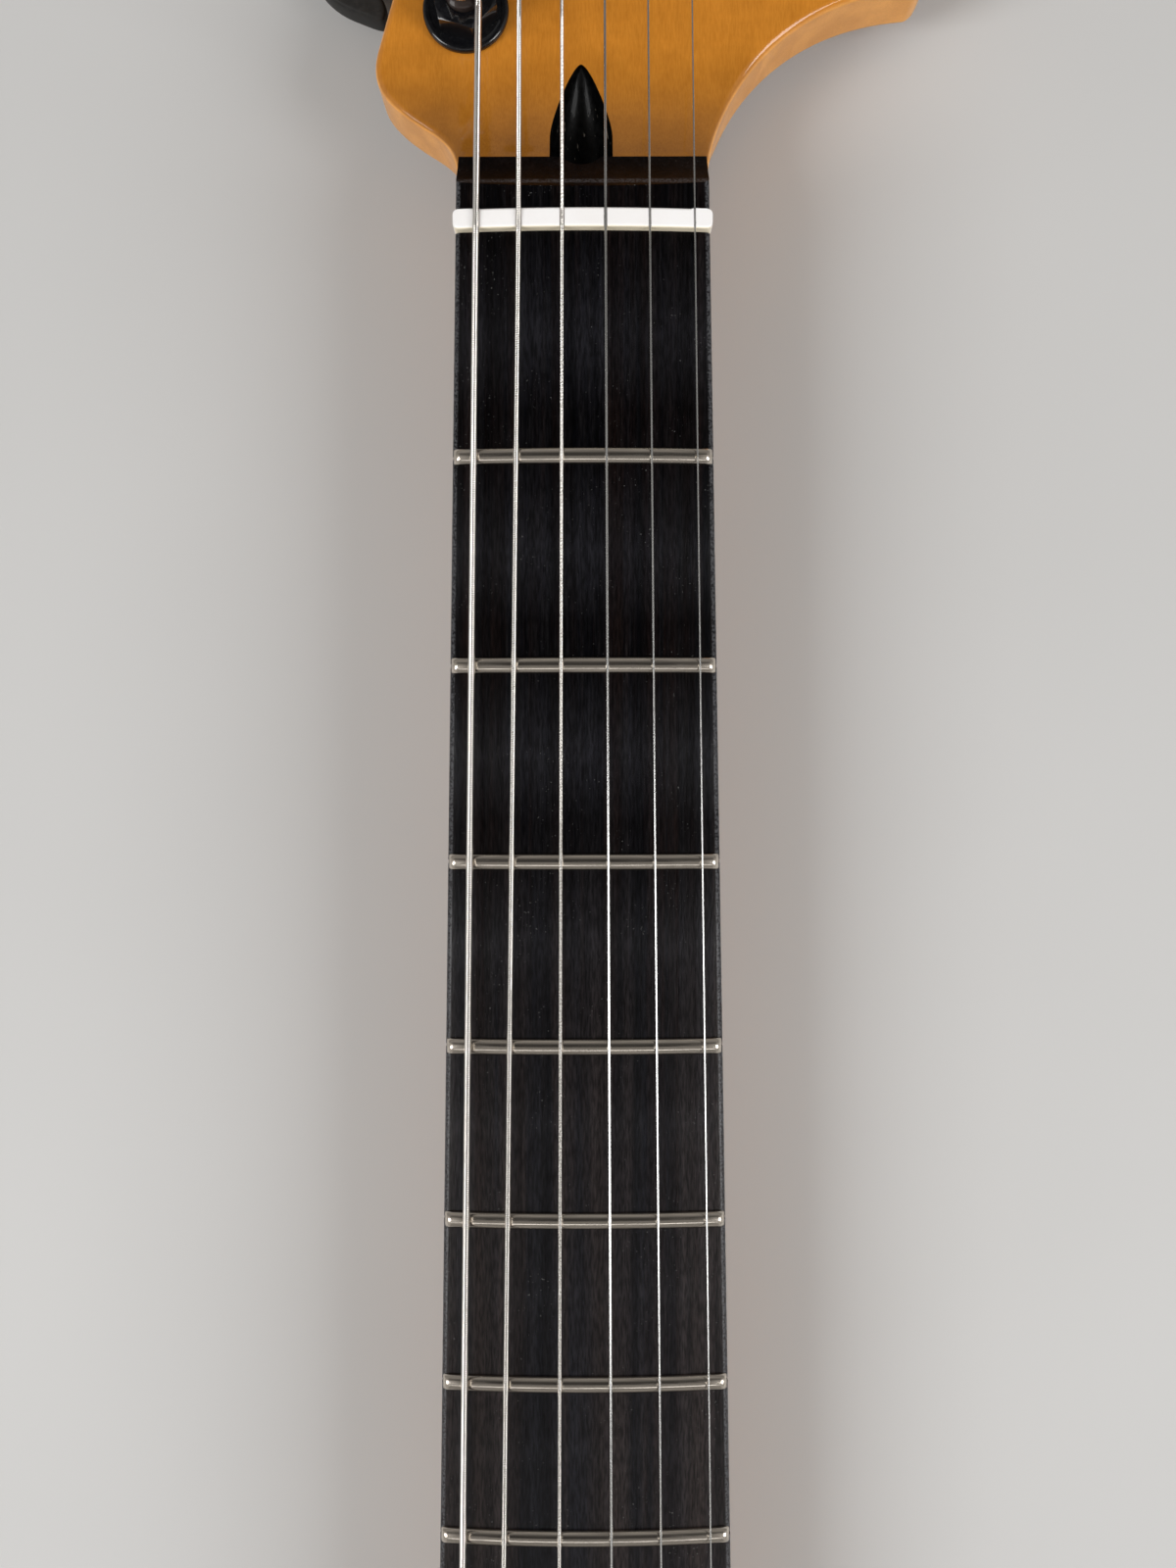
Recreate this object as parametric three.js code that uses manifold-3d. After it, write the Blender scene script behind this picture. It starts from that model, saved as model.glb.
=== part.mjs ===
// Bolt-on electric guitar neck with six sealed worm-gear tuning machines and its six strings.
// Millimetres. +Z leaves the fingerboard, +Y runs to the headstock, +X is the treble side.
// The origin is the centre of the four heel screws, on the flat back of the heel.

import * as THREE from 'three';
import { mergeVertices } from 'three/addons/utils/BufferGeometryUtils.js';
import Module from 'manifold-3d';

const wasm = await Module();
wasm.setup();

// Scale and fingerboard
const SCALE_LENGTH = 647.7;
const FRETS_PER_OCTAVE = 12;
const FRET_COUNT = 22;
const BOARD_TAIL = 6.055;
const NUT_END_WIDTH = 42;
const BOARD_END_WIDTH = 56.3;
const BOARD_THICKNESS = 6.35;
const BOARD_RADIUS = 184.15;
const BOARD_COLUMNS = 5;
const BOARD_STATION_FRETS = [15, 10, 6, 3, 1];
const GLUE_LINE = 0.05;

// Neck blank
const NECK_DEPTH = 19.05;
const BOARD_OVERHANG = 11;
const HEEL_BLOCK_LENGTH = 74;
const HEEL_SLOPE_LENGTH = 34;
const HEEL_CORNER_RADIUS = 3;
const BACK_RISE_AT_FIRST_FRET = 4.6;
const BACK_RISE_AT_TWELFTH_FRET = 2.5;
const BACK_ROUNDNESS = 2.3;
const BACK_EDGE_MARGIN = 0.05;
const CARVE_FADE_START = -10;
const CARVE_FADE_END = 24;
const CARVE_FADE_REACH = 60;
const CARVE_STEPS = 7;
const SECTION_POINTS = 10;
const HEAD_SWOOP_START = -24;
const HEAD_SWOOP_END = 36;
const OVERRUN = 5;

// Sides of round forms
const ROUND_SIDES = 12;
const SMALL_SIDES = 8;
const WASHER_SIDES = 16;
const HEX_SIDES = 6;
const MERGE_DISTANCE = 0.00001;

// Heel screws
const HEEL_SCREW_SPACING_X = 38.1;
const HEEL_SCREW_SPACING_Y = 50.8;
const HEEL_SCREW_INSET = 15.9;
const HEEL_PILOT_RADIUS = 1.6;
const HEEL_PILOT_DEPTH = 15;

// Headstock
const HEAD_THICKNESS = 14.3;
const HEAD_LENGTH = 185;
const HORN_REACH = 60.6;
const FACE_SWEEP_RADIUS = 30;
const FACE_SWEEP_STEPS = 8;
const BOARD_TOE = 14.7;
const NECK_SIDE_END = 9.5;
const OUTLINE_STEPS = 6;
const EDGE_TO_POST = 12.8;
const SHOULDER_TO_POST = 10.2;
const TIP_TO_POST = 13.6;
const SHOULDER_BEND = { x: -27, d: 20.9 };
const HORN_FRONT = { x: 56.8, d: 45 };

// Outline bends, each a cubic: two handles as shares of the box between its ends
const shoulderRootShares = [0.05, 0.571, 0.317, 0.756];
const shoulderCapShares = [0.693, 0.281, 1.247, 0.525];
const hornSweepShares = [0.011, 0.457, 0.335, 0.949];

// Treble edge from the horn to the tip: handle, handle, end, as shares of horn reach and length
const hornEdgeShares = [
  [0.974, 0.2454, 0.9835, 0.2622, 1.0, 0.281],
  [1.0165, 0.3, 0.998, 0.324, 0.916, 0.338],
  [0.79, 0.358, 0.683, 0.395, 0.653, 0.465],
  [0.602, 0.578, 0.693, 0.757, 0.594, 0.881],
];
const tipHandleShares = [0.528, 0.962, 0.19, 1.062];

// Truss rod and its access cavity
const ACCESS_RADIUS = 5.3;
const ACCESS_AXIS_Z = 15;
const ACCESS_DEPTH = 14;
const ACCESS_MOUTH = 19;
const ACCESS_TIP = 32.1;
const ACCESS_OFFSET = -0.25;
const ACCESS_TIP_RADIUS = 0.9;
const ACCESS_STEPS = 6;
const ACCESS_ROUNDNESS = 1.7;
const CHANNEL_WIDTH = 6.4;
const CHANNEL_DEPTH = 11;
const CHANNEL_HEEL_MARGIN = 26;
const ROD_CLEARANCE = 0.25;
const ROD_RADIUS = 2.5;
const ROD_BAR_HEIGHT = 3.2;
const ROD_BLOCK_LENGTH = 12;
const ROD_BLOCK_CLEARANCE = 0.08;
const ROD_NUT_RADIUS = 4.4;
const ROD_NUT_LENGTH = 9;
const ROD_NUT_SOCKET_RADIUS = 2.4;
const ROD_NUT_SOCKET_DEPTH = 6;
const ROD_NUT_SEAT = 0.3;

// Nut
const NUT_THICKNESS = 3.3;
const NUT_WIDTH = 42.5;
const NUT_SLOT_DEPTH = 3.2;
const NUT_HEIGHT = 2.1;
const NUT_BACK_DROP = 0.5;
const NUT_CLEARANCE = 0.05;
const STRING_SLOT_HEIGHT = 1.65;
const STRING_SLOT_CLEARANCE = 0.06;

// Frets
const FRET_WIDTH = 2.8;
const FRET_HEIGHT = 1.2;
const FRET_END_BEVEL = 0.9;
const FRET_END_INSET = 0.25;
const FRET_SEAT = 0.04;
const TANG_THICKNESS = 0.55;
const TANG_DEPTH = 1.7;
const TANG_CLEARANCE = 0.06;
const TANG_BOTTOM_CLEARANCE = 0.3;
const fretCrownShares = [[0.5, 0], [0.3, 0.84], [0, 1], [-0.3, 0.84], [-0.5, 0]];

// Strings, low E to high E: diameter, place at the nut, place at the end of the board
const STRING_DIAMETERS = [1.168, 0.914, 0.66, 0.432, 0.33, 0.254];
const NUT_PLACES = [-17.39, -10.43, -3.34, 3.74, 10.96, 18.32];
const BOARD_END_PLACES = [-23.4, -16.8, -5.3, 5.0, 14.3, 23.6];
const ACTION_LOW = 1.8;
const ACTION_HIGH = 1.4;
const STRING_TAIL = 12;
const STRING_SIDES = 6;
const BALL_RADIUS = 1.95;
const BALL_LENGTH = 3.2;
const STRING_GAP = 0.3;

// Tuning machines
const TUNER_COUNT = 6;
const FIRST_POST_X = -19.8;
const FIRST_POST_D = 41.1;
const POST_PITCH = 25.6;
const POST_LINE_ANGLE = THREE.MathUtils.degToRad(16);
const MACHINE_SEAT = 0.2;
const WHEEL_TEETH = 18;
const WORM_PITCH = 2.4;
const WORM_OFFSET = 9.9;
const WORM_TURNS = 2.5;
const WORM_STEPS = 8;
const THREAD_HEIGHT = 0.5;
const THREAD_DEPTH = 0.6;
const TOOTH_TIP_WIDTH = 0.45;
const TOOTH_ROOT_WIDTH = 1.15;
const WHEEL_THICKNESS = 3;
const GEAR_PLANE_Z = -5.9;
const RUNNING_CLEARANCE = 0.3;
const SHAFT_RADIUS = 1.9;
const SHAFT_CLEARANCE = 0.08;
const WORM_CHAMBER_LENGTH = 11;
const HOUSING_WALL = 1.3;
const HOUSING_DEPTH = 11;
const HOUSING_CORNER = 5;
const HOUSING_BEARING_RADIUS = 3.4;
const HOUSING_BEARING_LENGTH = 3.2;
const HOUSING_STEPS = 4;
const EAR_RADIUS = 3.2;
const EAR_REACH = 13.2;
const EAR_THICKNESS = 1.6;
const EAR_HOLE_RADIUS = 1.3;
const POST_RADIUS = 3;
const POST_HOLE_RADIUS = 5;
const POST_CLEARANCE = 0.08;
const PIVOT_RADIUS = 2;
const PIVOT_LENGTH = 2.2;
const WAIST_RADIUS = 1.95;
const WAIST_BOTTOM = 21.4;
const WAIST_TOP = 28;
const POST_TOP = 30.8;
const POST_CHAMFER = 0.7;
const WASHER_RADIUS = 7.3;
const WASHER_THICKNESS = 1.2;
const SLEEVE_RADIUS = 4.8;
const SLEEVE_LENGTH = 12.5;
const HEX_ACROSS_FLATS = 10;
const HEX_HEIGHT = 5;
const HEX_CHAMFER = 1;

// Buttons
const BUTTON_START = 17.9;
const BUTTON_LENGTH = 15.8;
const BUTTON_HALF_WIDTH = 8.15;
const BUTTON_THICKNESS = 5.6;
const BUTTON_BEVEL = 1.1;
const BUTTON_NECK_RADIUS = 2.9;
const BUTTON_NECK_START = 14.2;
const BUTTON_NECK_END = 22;
const BUTTON_CURVE_STEPS = 3;
const buttonOutlineShares = [
  [0.1, -1.0, 0.26, -1.0],
  [0.58, -1.0, 0.96, -0.67, 0.99, 0],
];
const buttonNotchShares = [0.17, 0, 0.13, -0.42, 0.01, -0.62];

// Windings on the posts
const WINDING_TURNS = [2.25, 2.25, 2.25, 2.25, 2.25, 2.25];
const WINDING_STEPS = 12;
const WINDING_SIDES = 5;
const WINDING_GAP = 0.58;
const WINDING_CLEARANCE = 0.1;
const WINDING_START_Z = 22.6;
const windingEndDepthShare = 0.33;
const windingEndTurnShare = 1.5;

// String trees
const TREE_PLACES = [70, 60];
const TREE_STRINGS = [[2, 3], [4, 5]];
const TREE_STRING_Z = [21.6, 20];
const TREE_LENGTH = 12.6;
const TREE_THICKNESS = 1;
const TREE_BEND_RADIUS = 3.4;
const TREE_BEND_ANGLE = THREE.MathUtils.degToRad(52);
const TREE_STEM_RADIUS = 2.2;
const TREE_SCREW_RADIUS = 2.7;
const TREE_SCREW_HEIGHT = 1.5;
const TREE_CLEARANCE = 0.08;
const TREE_SEAT = 0.1;

// Places worked out from the sizes above
const BOARD_LENGTH = BOARD_TAIL - fretPlace(FRET_COUNT);
const NECK_LENGTH = BOARD_LENGTH - BOARD_OVERHANG;
const NUT_Y = NECK_LENGTH - HEEL_SCREW_INSET - HEEL_SCREW_SPACING_Y / 2;
const CROWN_Z = NECK_DEPTH + BOARD_THICKNESS;
const FACE_SWEEP_END = BOARD_TOE + sweepReach(NECK_DEPTH);
const WHEEL_PITCH_RADIUS = (WHEEL_TEETH * WORM_PITCH) / (2 * Math.PI);
const WORM_PITCH_RADIUS = WORM_OFFSET - WHEEL_PITCH_RADIUS;
const WORM_TIP_RADIUS = WORM_PITCH_RADIUS + THREAD_HEIGHT;
const WORM_ROOT_RADIUS = WORM_PITCH_RADIUS - THREAD_DEPTH;
const WHEEL_TIP_RADIUS = WHEEL_PITCH_RADIUS + THREAD_HEIGHT;
const WHEEL_ROOT_RADIUS = WHEEL_PITCH_RADIUS - THREAD_DEPTH;

// Materials, one for each sub-part
const finishes = {
  maple: [0xc07a2c, 0.25, 0],
  board: [0x17130f, 0.55, 0],
  bone: [0xf2eee4, 0.35, 0],
  nickel: [0xcfc9bd, 0.25, 1],
  steel: [0x8b8d90, 0.4, 1],
  brass: [0xb08d4a, 0.4, 1],
  wire: [0xb9b6b0, 0.3, 1],
  darkMetal: [0x2b2320, 0.3, 0.8],
  blackMetal: [0x101113, 0.18, 0.6],
  satinBlack: [0x2a2c2e, 0.5, 0],
};

function finish(name) {
  const [color, roughness, metalness] = finishes[name];
  return new THREE.MeshStandardMaterial({ color, roughness, metalness });
}

// Mesh tools: every solid is a closed triangle mesh with its faces pointing out

function bareGeometry(geometry) {
  const bare = geometry.clone();
  for (const name of Object.keys(bare.attributes)) {
    if (name !== 'position') bare.deleteAttribute(name);
  }
  return mergeVertices(bare, MERGE_DISTANCE);
}

function solid(geometry) {
  const bare = bareGeometry(geometry);
  const vertProperties = new Float32Array(bare.attributes.position.array);
  const triVerts = new Uint32Array(bare.index.array);
  if (signedVolume(vertProperties, triVerts) < 0) {
    for (let i = 0; i < triVerts.length; i += 3) {
      [triVerts[i], triVerts[i + 1]] = [triVerts[i + 1], triVerts[i]];
    }
  }
  return new wasm.Manifold(new wasm.Mesh({ numProp: 3, vertProperties, triVerts }));
}

function signedVolume(points, triangles) {
  const a = new THREE.Vector3();
  const b = new THREE.Vector3();
  const c = new THREE.Vector3();
  let volume = 0;
  for (let i = 0; i < triangles.length; i += 3) {
    a.fromArray(points, 3 * triangles[i]);
    b.fromArray(points, 3 * triangles[i + 1]);
    c.fromArray(points, 3 * triangles[i + 2]);
    volume += a.dot(b.cross(c)) / 6;
  }
  return volume;
}

function geometryOf(shape) {
  const { vertProperties, triVerts } = shape.getMesh();
  const geometry = new THREE.BufferGeometry();
  geometry.setAttribute('position', new THREE.BufferAttribute(new Float32Array(vertProperties), 3));
  geometry.setIndex(new THREE.BufferAttribute(new Uint32Array(triVerts), 1));
  const faceted = geometry.toNonIndexed();
  faceted.computeVertexNormals();
  return faceted;
}

function piece(name, shape, finishName, parent) {
  const mesh = new THREE.Mesh(geometryOf(shape), finish(finishName));
  mesh.name = name;
  parent.add(mesh);
  return mesh;
}

// A solid skinned over closed rings that hold the same number of points
function loft(rings) {
  const count = rings[0].length;
  const points = rings.flat();
  const index = [];
  for (let r = 0; r + 1 < rings.length; r += 1) {
    for (let k = 0; k < count; k += 1) {
      const a = r * count + k;
      const b = r * count + ((k + 1) % count);
      index.push(a, b, b + count, a, b + count, a + count);
    }
  }
  for (const [r, flip] of [[0, true], [rings.length - 1, false]]) {
    for (const [a, b, c] of capTriangles(rings[r])) {
      const base = r * count;
      index.push(base + a, base + (flip ? c : b), base + (flip ? b : c));
    }
  }
  const geometry = new THREE.BufferGeometry().setFromPoints(points);
  geometry.setIndex(index);
  return solid(geometry);
}

function capTriangles(ring) {
  const normal = new THREE.Vector3();
  for (let k = 0; k < ring.length; k += 1) {
    normal.add(new THREE.Vector3().crossVectors(ring[k], ring[(k + 1) % ring.length]));
  }
  normal.normalize();
  const turn = new THREE.Quaternion().setFromUnitVectors(normal, new THREE.Vector3(0, 0, 1));
  const flat = ring.map((p) => p.clone().applyQuaternion(turn));
  return THREE.ShapeUtils.triangulateShape(flat.map((p) => new THREE.Vector2(p.x, p.y)), []);
}

function prism(shape, low, high, curveSegments = OUTLINE_STEPS) {
  const geometry = new THREE.ExtrudeGeometry(shape, {
    depth: high - low,
    bevelEnabled: false,
    curveSegments,
  });
  geometry.translate(0, 0, low);
  return solid(geometry);
}

function box(center, size) {
  return solid(new THREE.BoxGeometry(...size).translate(...center));
}

function cylinderZ(radius, low, high, x = 0, y = 0, sides = ROUND_SIDES) {
  const geometry = new THREE.CylinderGeometry(radius, radius, high - low, sides);
  geometry.rotateX(Math.PI / 2);
  geometry.translate(x, y, (low + high) / 2);
  return solid(geometry);
}

function cylinderX(radius, low, high, y, z, sides = ROUND_SIDES) {
  const geometry = new THREE.CylinderGeometry(radius, radius, high - low, sides);
  geometry.rotateZ(Math.PI / 2);
  geometry.translate((low + high) / 2, y, z);
  return solid(geometry);
}

function cylinderY(radius, low, high, x, z, sides = ROUND_SIDES) {
  const geometry = new THREE.CylinderGeometry(radius, radius, high - low, sides);
  geometry.translate(x, (low + high) / 2, z);
  return solid(geometry);
}

// Profile points are [radius, z], from the axis round to the axis
function turned(profile, sides) {
  const points = profile.map(([radius, z]) => new THREE.Vector2(radius, z));
  const geometry = new THREE.LatheGeometry(points, sides);
  geometry.rotateX(Math.PI / 2);
  return solid(geometry);
}

// A round tube through given points, its sections square to the path
function tube(points, radius, sides) {
  const rings = [];
  const tangents = points.map((p, i) => {
    const back = points[Math.max(i - 1, 0)];
    const ahead = points[Math.min(i + 1, points.length - 1)];
    return ahead.clone().sub(back).normalize();
  });
  let side = new THREE.Vector3(0, 0, 1).cross(tangents[0]).normalize();
  points.forEach((p, i) => {
    side.addScaledVector(tangents[i], -side.dot(tangents[i])).normalize();
    const up = new THREE.Vector3().crossVectors(tangents[i], side);
    const ring = [];
    for (let k = 0; k < sides; k += 1) {
      const turn = (2 * Math.PI * (k + 0.5)) / sides;
      ring.push(p.clone()
        .addScaledVector(side, radius * Math.cos(turn))
        .addScaledVector(up, radius * Math.sin(turn)));
    }
    rings.push(ring);
  });
  return loft(rings);
}

// Radius of the corners of a bore whose flats lie at the given radius
function boreCorner(radius, sides = ROUND_SIDES) {
  return radius / Math.cos(Math.PI / sides);
}

// Neck geometry

function along(d) {
  return NUT_Y + d;
}

function halfWidth(d) {
  return (NUT_END_WIDTH - ((BOARD_END_WIDTH - NUT_END_WIDTH) * d) / BOARD_LENGTH) / 2;
}

function crownZ(x) {
  return CROWN_Z - BOARD_RADIUS + Math.sqrt(BOARD_RADIUS ** 2 - x ** 2);
}

function fretPlace(number) {
  return -SCALE_LENGTH * (1 - 2 ** (-number / FRETS_PER_OCTAVE));
}

// Distance from the foot of the face sweep to the place where it has climbed to z
function sweepReach(z) {
  const climb = z - HEAD_THICKNESS;
  return Math.sqrt(2 * FACE_SWEEP_RADIUS * climb - climb ** 2);
}

function smooth(t) {
  const s = Math.min(Math.max(t, 0), 1);
  return s * s * (3 - 2 * s);
}

// Height of the back line of the neck above the plane of the heel
function backRise(d) {
  const first = fretPlace(1);
  const twelfth = fretPlace(FRETS_PER_OCTAVE);
  const taper = (BACK_RISE_AT_FIRST_FRET - BACK_RISE_AT_TWELFTH_FRET) / (first - twelfth);
  const rise = BACK_RISE_AT_FIRST_FRET + taper * (d - first);
  const heel = smooth((d + NECK_LENGTH - HEEL_BLOCK_LENGTH) / HEEL_SLOPE_LENGTH);
  const head = 1 - smooth((d - HEAD_SWOOP_START) / (HEAD_SWOOP_END - HEAD_SWOOP_START));
  return rise * heel * head;
}

// Cubic from one point to another, its handles given as shares of the box between them
function bend(path, from, to, shares) {
  const dx = to.x - from.x;
  const dy = to.y - from.y;
  path.bezierCurveTo(
    from.x + shares[0] * dx,
    from.y + shares[1] * dy,
    from.x + shares[2] * dx,
    from.y + shares[3] * dy,
    to.x,
    to.y,
  );
}

function postPlace(i) {
  return new THREE.Vector2(
    FIRST_POST_X + i * POST_PITCH * Math.sin(POST_LINE_ANGLE),
    along(FIRST_POST_D) + i * POST_PITCH * Math.cos(POST_LINE_ANGLE),
  );
}

// Point on the bass edge of the headstock, a run past the first post along the edge
function bassEdge(run) {
  const out = new THREE.Vector2(-Math.cos(POST_LINE_ANGLE), Math.sin(POST_LINE_ANGLE));
  const up = new THREE.Vector2(Math.sin(POST_LINE_ANGLE), Math.cos(POST_LINE_ANGLE));
  return postPlace(0).addScaledVector(out, EDGE_TO_POST).addScaledVector(up, run);
}

function neckPlan() {
  const heel = along(-NECK_LENGTH);
  const heelHalf = halfWidth(-NECK_LENGTH);
  const sideHalf = halfWidth(NECK_SIDE_END);
  const side = new THREE.Vector2(sideHalf, along(NECK_SIDE_END));
  const horn = new THREE.Vector2(HORN_FRONT.x, along(HORN_FRONT.d));
  const path = new THREE.Shape();
  path.moveTo(-heelHalf + HEEL_CORNER_RADIUS, heel);
  path.lineTo(heelHalf - HEEL_CORNER_RADIUS, heel);
  path.absarc(heelHalf - HEEL_CORNER_RADIUS, heel + HEEL_CORNER_RADIUS, HEEL_CORNER_RADIUS,
    -Math.PI / 2, 0);
  path.lineTo(side.x, side.y);
  bend(path, side, horn, hornSweepShares);
  for (const [ax, ay, bx, by, x, y] of hornEdgeShares) {
    path.bezierCurveTo(
      ax * HORN_REACH, along(ay * HEAD_LENGTH),
      bx * HORN_REACH, along(by * HEAD_LENGTH),
      x * HORN_REACH, along(y * HEAD_LENGTH),
    );
  }
  const tip = bassEdge((TUNER_COUNT - 1) * POST_PITCH + TIP_TO_POST);
  const [ax, ay, bx, by] = tipHandleShares;
  path.bezierCurveTo(
    ax * HORN_REACH, along(ay * HEAD_LENGTH),
    bx * HORN_REACH, along(by * HEAD_LENGTH),
    tip.x, tip.y,
  );
  const shoulder = bassEdge(-SHOULDER_TO_POST);
  const dip = new THREE.Vector2(SHOULDER_BEND.x, along(SHOULDER_BEND.d));
  path.lineTo(shoulder.x, shoulder.y);
  bendBack(path, dip, shoulder, shoulderCapShares);
  bendBack(path, new THREE.Vector2(-side.x, side.y), dip, shoulderRootShares);
  path.lineTo(-heelHalf, heel + HEEL_CORNER_RADIUS);
  path.absarc(-heelHalf + HEEL_CORNER_RADIUS, heel + HEEL_CORNER_RADIUS, HEEL_CORNER_RADIUS,
    Math.PI, 1.5 * Math.PI);
  return path;
}

// The same cubic drawn from its far end back to its near end
function bendBack(path, near, far, shares) {
  bend(path, far, near, [1 - shares[2], 1 - shares[3], 1 - shares[0], 1 - shares[1]]);
}

// Face of the headstock and its sweep up to the fingerboard, as points [d, z] from tip to nut
function sweepPoints(highest) {
  const points = [];
  const reach = sweepReach(highest);
  for (let i = 0; i <= FACE_SWEEP_STEPS; i += 1) {
    const run = (reach * i) / FACE_SWEEP_STEPS;
    const z = HEAD_THICKNESS + FACE_SWEEP_RADIUS - Math.sqrt(FACE_SWEEP_RADIUS ** 2 - run ** 2);
    points.push([FACE_SWEEP_END - run, z]);
  }
  return points;
}

// Prism across the neck from a side outline of [d, z] points
function acrossPrism(outline, half) {
  const shape = new THREE.Shape(outline.map(([d, z]) => new THREE.Vector2(along(d), z)));
  const geometry = new THREE.ExtrudeGeometry(shape, { depth: 2 * half, bevelEnabled: false });
  geometry.translate(0, 0, -half);
  geometry.applyMatrix4(new THREE.Matrix4().set(
    0, 0, 1, 0,
    1, 0, 0, 0,
    0, 1, 0, 0,
    0, 0, 0, 1,
  ));
  return solid(geometry);
}

function neckSide() {
  const outline = [[-NECK_LENGTH - OVERRUN, 0], [-NECK_LENGTH + HEEL_BLOCK_LENGTH, 0]];
  const stations = [];
  for (let i = 1; i <= CARVE_STEPS; i += 1) {
    stations.push(-NECK_LENGTH + HEEL_BLOCK_LENGTH + (HEEL_SLOPE_LENGTH * i) / CARVE_STEPS);
  }
  for (let i = 0; i <= CARVE_STEPS; i += 1) {
    stations.push(HEAD_SWOOP_START + ((HEAD_SWOOP_END - HEAD_SWOOP_START) * i) / CARVE_STEPS);
  }
  for (const d of stations) outline.push([d, backRise(d)]);
  outline.push([HEAD_LENGTH + OVERRUN, 0], [HEAD_LENGTH + OVERRUN, HEAD_THICKNESS]);
  outline.push(...sweepPoints(NECK_DEPTH), [-NECK_LENGTH - OVERRUN, NECK_DEPTH]);
  return acrossPrism(outline, 2 * HORN_REACH);
}

// Cross section of the carve: square at weight 0, round at weight 1
function carveRing(d, half, floor, weight) {
  const depth = NECK_DEPTH - floor;
  const ring = [];
  const sideCount = SECTION_POINTS / 2;
  for (let k = 0; k <= SECTION_POINTS; k += 1) {
    const turn = (Math.PI / 2) * (k / SECTION_POINTS);
    const roundX = half * Math.cos(turn) ** (2 / BACK_ROUNDNESS);
    const roundZ = -depth * Math.sin(turn) ** (2 / BACK_ROUNDNESS);
    const squareX = half * Math.min(1, (SECTION_POINTS - k) / sideCount);
    const squareZ = -depth * Math.min(1, k / sideCount);
    ring.push([
      squareX + (roundX - squareX) * weight,
      squareZ + (roundZ - squareZ) * weight,
    ]);
  }
  const mirrored = ring.slice(0, -1).reverse().map(([x, z]) => [-x, z]);
  const top = [[-half, OVERRUN], [half, OVERRUN]];
  return [...ring, ...mirrored, ...top]
    .map(([x, z]) => new THREE.Vector3(x, along(d), NECK_DEPTH + z));
}

function carveEnvelope() {
  const heelEnd = -NECK_LENGTH + HEEL_BLOCK_LENGTH;
  const rings = [];
  const add = (d, weight, reach) => {
    const half = halfWidth(d) + BACK_EDGE_MARGIN + reach;
    const floor = backRise(d) - OVERRUN * (1 - weight);
    rings.push(carveRing(d, half, floor, weight));
  };
  add(-NECK_LENGTH - OVERRUN, 0, 0);
  add(heelEnd, 0, 0);
  for (let i = 1; i <= CARVE_STEPS; i += 1) {
    const t = i / CARVE_STEPS;
    add(heelEnd + HEEL_SLOPE_LENGTH * t, smooth(t), 0);
  }
  for (let i = 0; i <= CARVE_STEPS; i += 1) {
    const t = i / CARVE_STEPS;
    const d = CARVE_FADE_START + (CARVE_FADE_END - CARVE_FADE_START) * t;
    add(d, 1 - smooth(t), CARVE_FADE_REACH * smooth(t));
  }
  add(HEAD_LENGTH + OVERRUN, 0, CARVE_FADE_REACH);
  return loft(rings);
}

// Round-nosed cavity that runs out into the face of the headstock
function accessCavity() {
  const rings = [];
  for (let i = 0; i <= ACCESS_STEPS; i += 1) {
    const t = i / ACCESS_STEPS;
    const d = ACCESS_MOUTH + (ACCESS_TIP - ACCESS_MOUTH) * Math.sin((Math.PI / 2) * t);
    const run = (d - ACCESS_MOUTH) / (ACCESS_TIP - ACCESS_MOUTH);
    const half = ACCESS_TIP_RADIUS + (ACCESS_RADIUS - ACCESS_TIP_RADIUS) * (1 - run ** ACCESS_ROUNDNESS);
    rings.push(cavityRing(d, half, run));
  }
  rings.unshift(cavityRing(BOARD_TOE - OVERRUN, ACCESS_RADIUS, 0));
  return loft(rings);
}

function cavityRing(d, half, run) {
  const floorDepth = (ACCESS_RADIUS + HEAD_THICKNESS - ACCESS_AXIS_Z) * (1 - run ** 2)
    + ACCESS_TIP_RADIUS * run;
  const ring = [];
  for (let k = 0; k <= SECTION_POINTS; k += 1) {
    const turn = Math.PI * (k / SECTION_POINTS);
    ring.push([half * Math.cos(turn), HEAD_THICKNESS - floorDepth * Math.sin(turn)]);
  }
  ring.push([-half, NECK_DEPTH + OVERRUN], [half, NECK_DEPTH + OVERRUN]);
  return ring.map(([x, z]) => new THREE.Vector3(x + ACCESS_OFFSET, along(d), z));
}

function accessBore() {
  return cylinderY(ACCESS_RADIUS, along(-ACCESS_DEPTH), along(ACCESS_MOUTH), ACCESS_OFFSET,
    ACCESS_AXIS_Z);
}

function rodChannel() {
  const low = along(-NECK_LENGTH + CHANNEL_HEEL_MARGIN);
  const high = along(-ACCESS_DEPTH + OVERRUN);
  return box(
    [ACCESS_OFFSET, (low + high) / 2, NECK_DEPTH - CHANNEL_DEPTH / 2 + OVERRUN / 2],
    [CHANNEL_WIDTH, high - low, CHANNEL_DEPTH + OVERRUN],
  );
}

function neckShaft() {
  let neck = prism(neckPlan(), -OVERRUN, CROWN_Z).intersect(neckSide()).intersect(carveEnvelope());
  neck = neck.subtract(rodChannel()).subtract(accessBore());
  neck = neck.subtract(accessCavity().intersect(aboveSlope()));
  for (const sx of [-1, 1]) {
    for (const sy of [-1, 1]) {
      neck = neck.subtract(cylinderZ(HEEL_PILOT_RADIUS, -OVERRUN, HEEL_PILOT_DEPTH,
        (sx * HEEL_SCREW_SPACING_X) / 2, (sy * HEEL_SCREW_SPACING_Y) / 2, SMALL_SIDES));
    }
  }
  for (let i = 0; i < TUNER_COUNT; i += 1) {
    const at = postPlace(i);
    neck = neck.subtract(cylinderZ(POST_HOLE_RADIUS, -OVERRUN, HEAD_THICKNESS + OVERRUN, at.x, at.y));
  }
  return neck;
}

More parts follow.
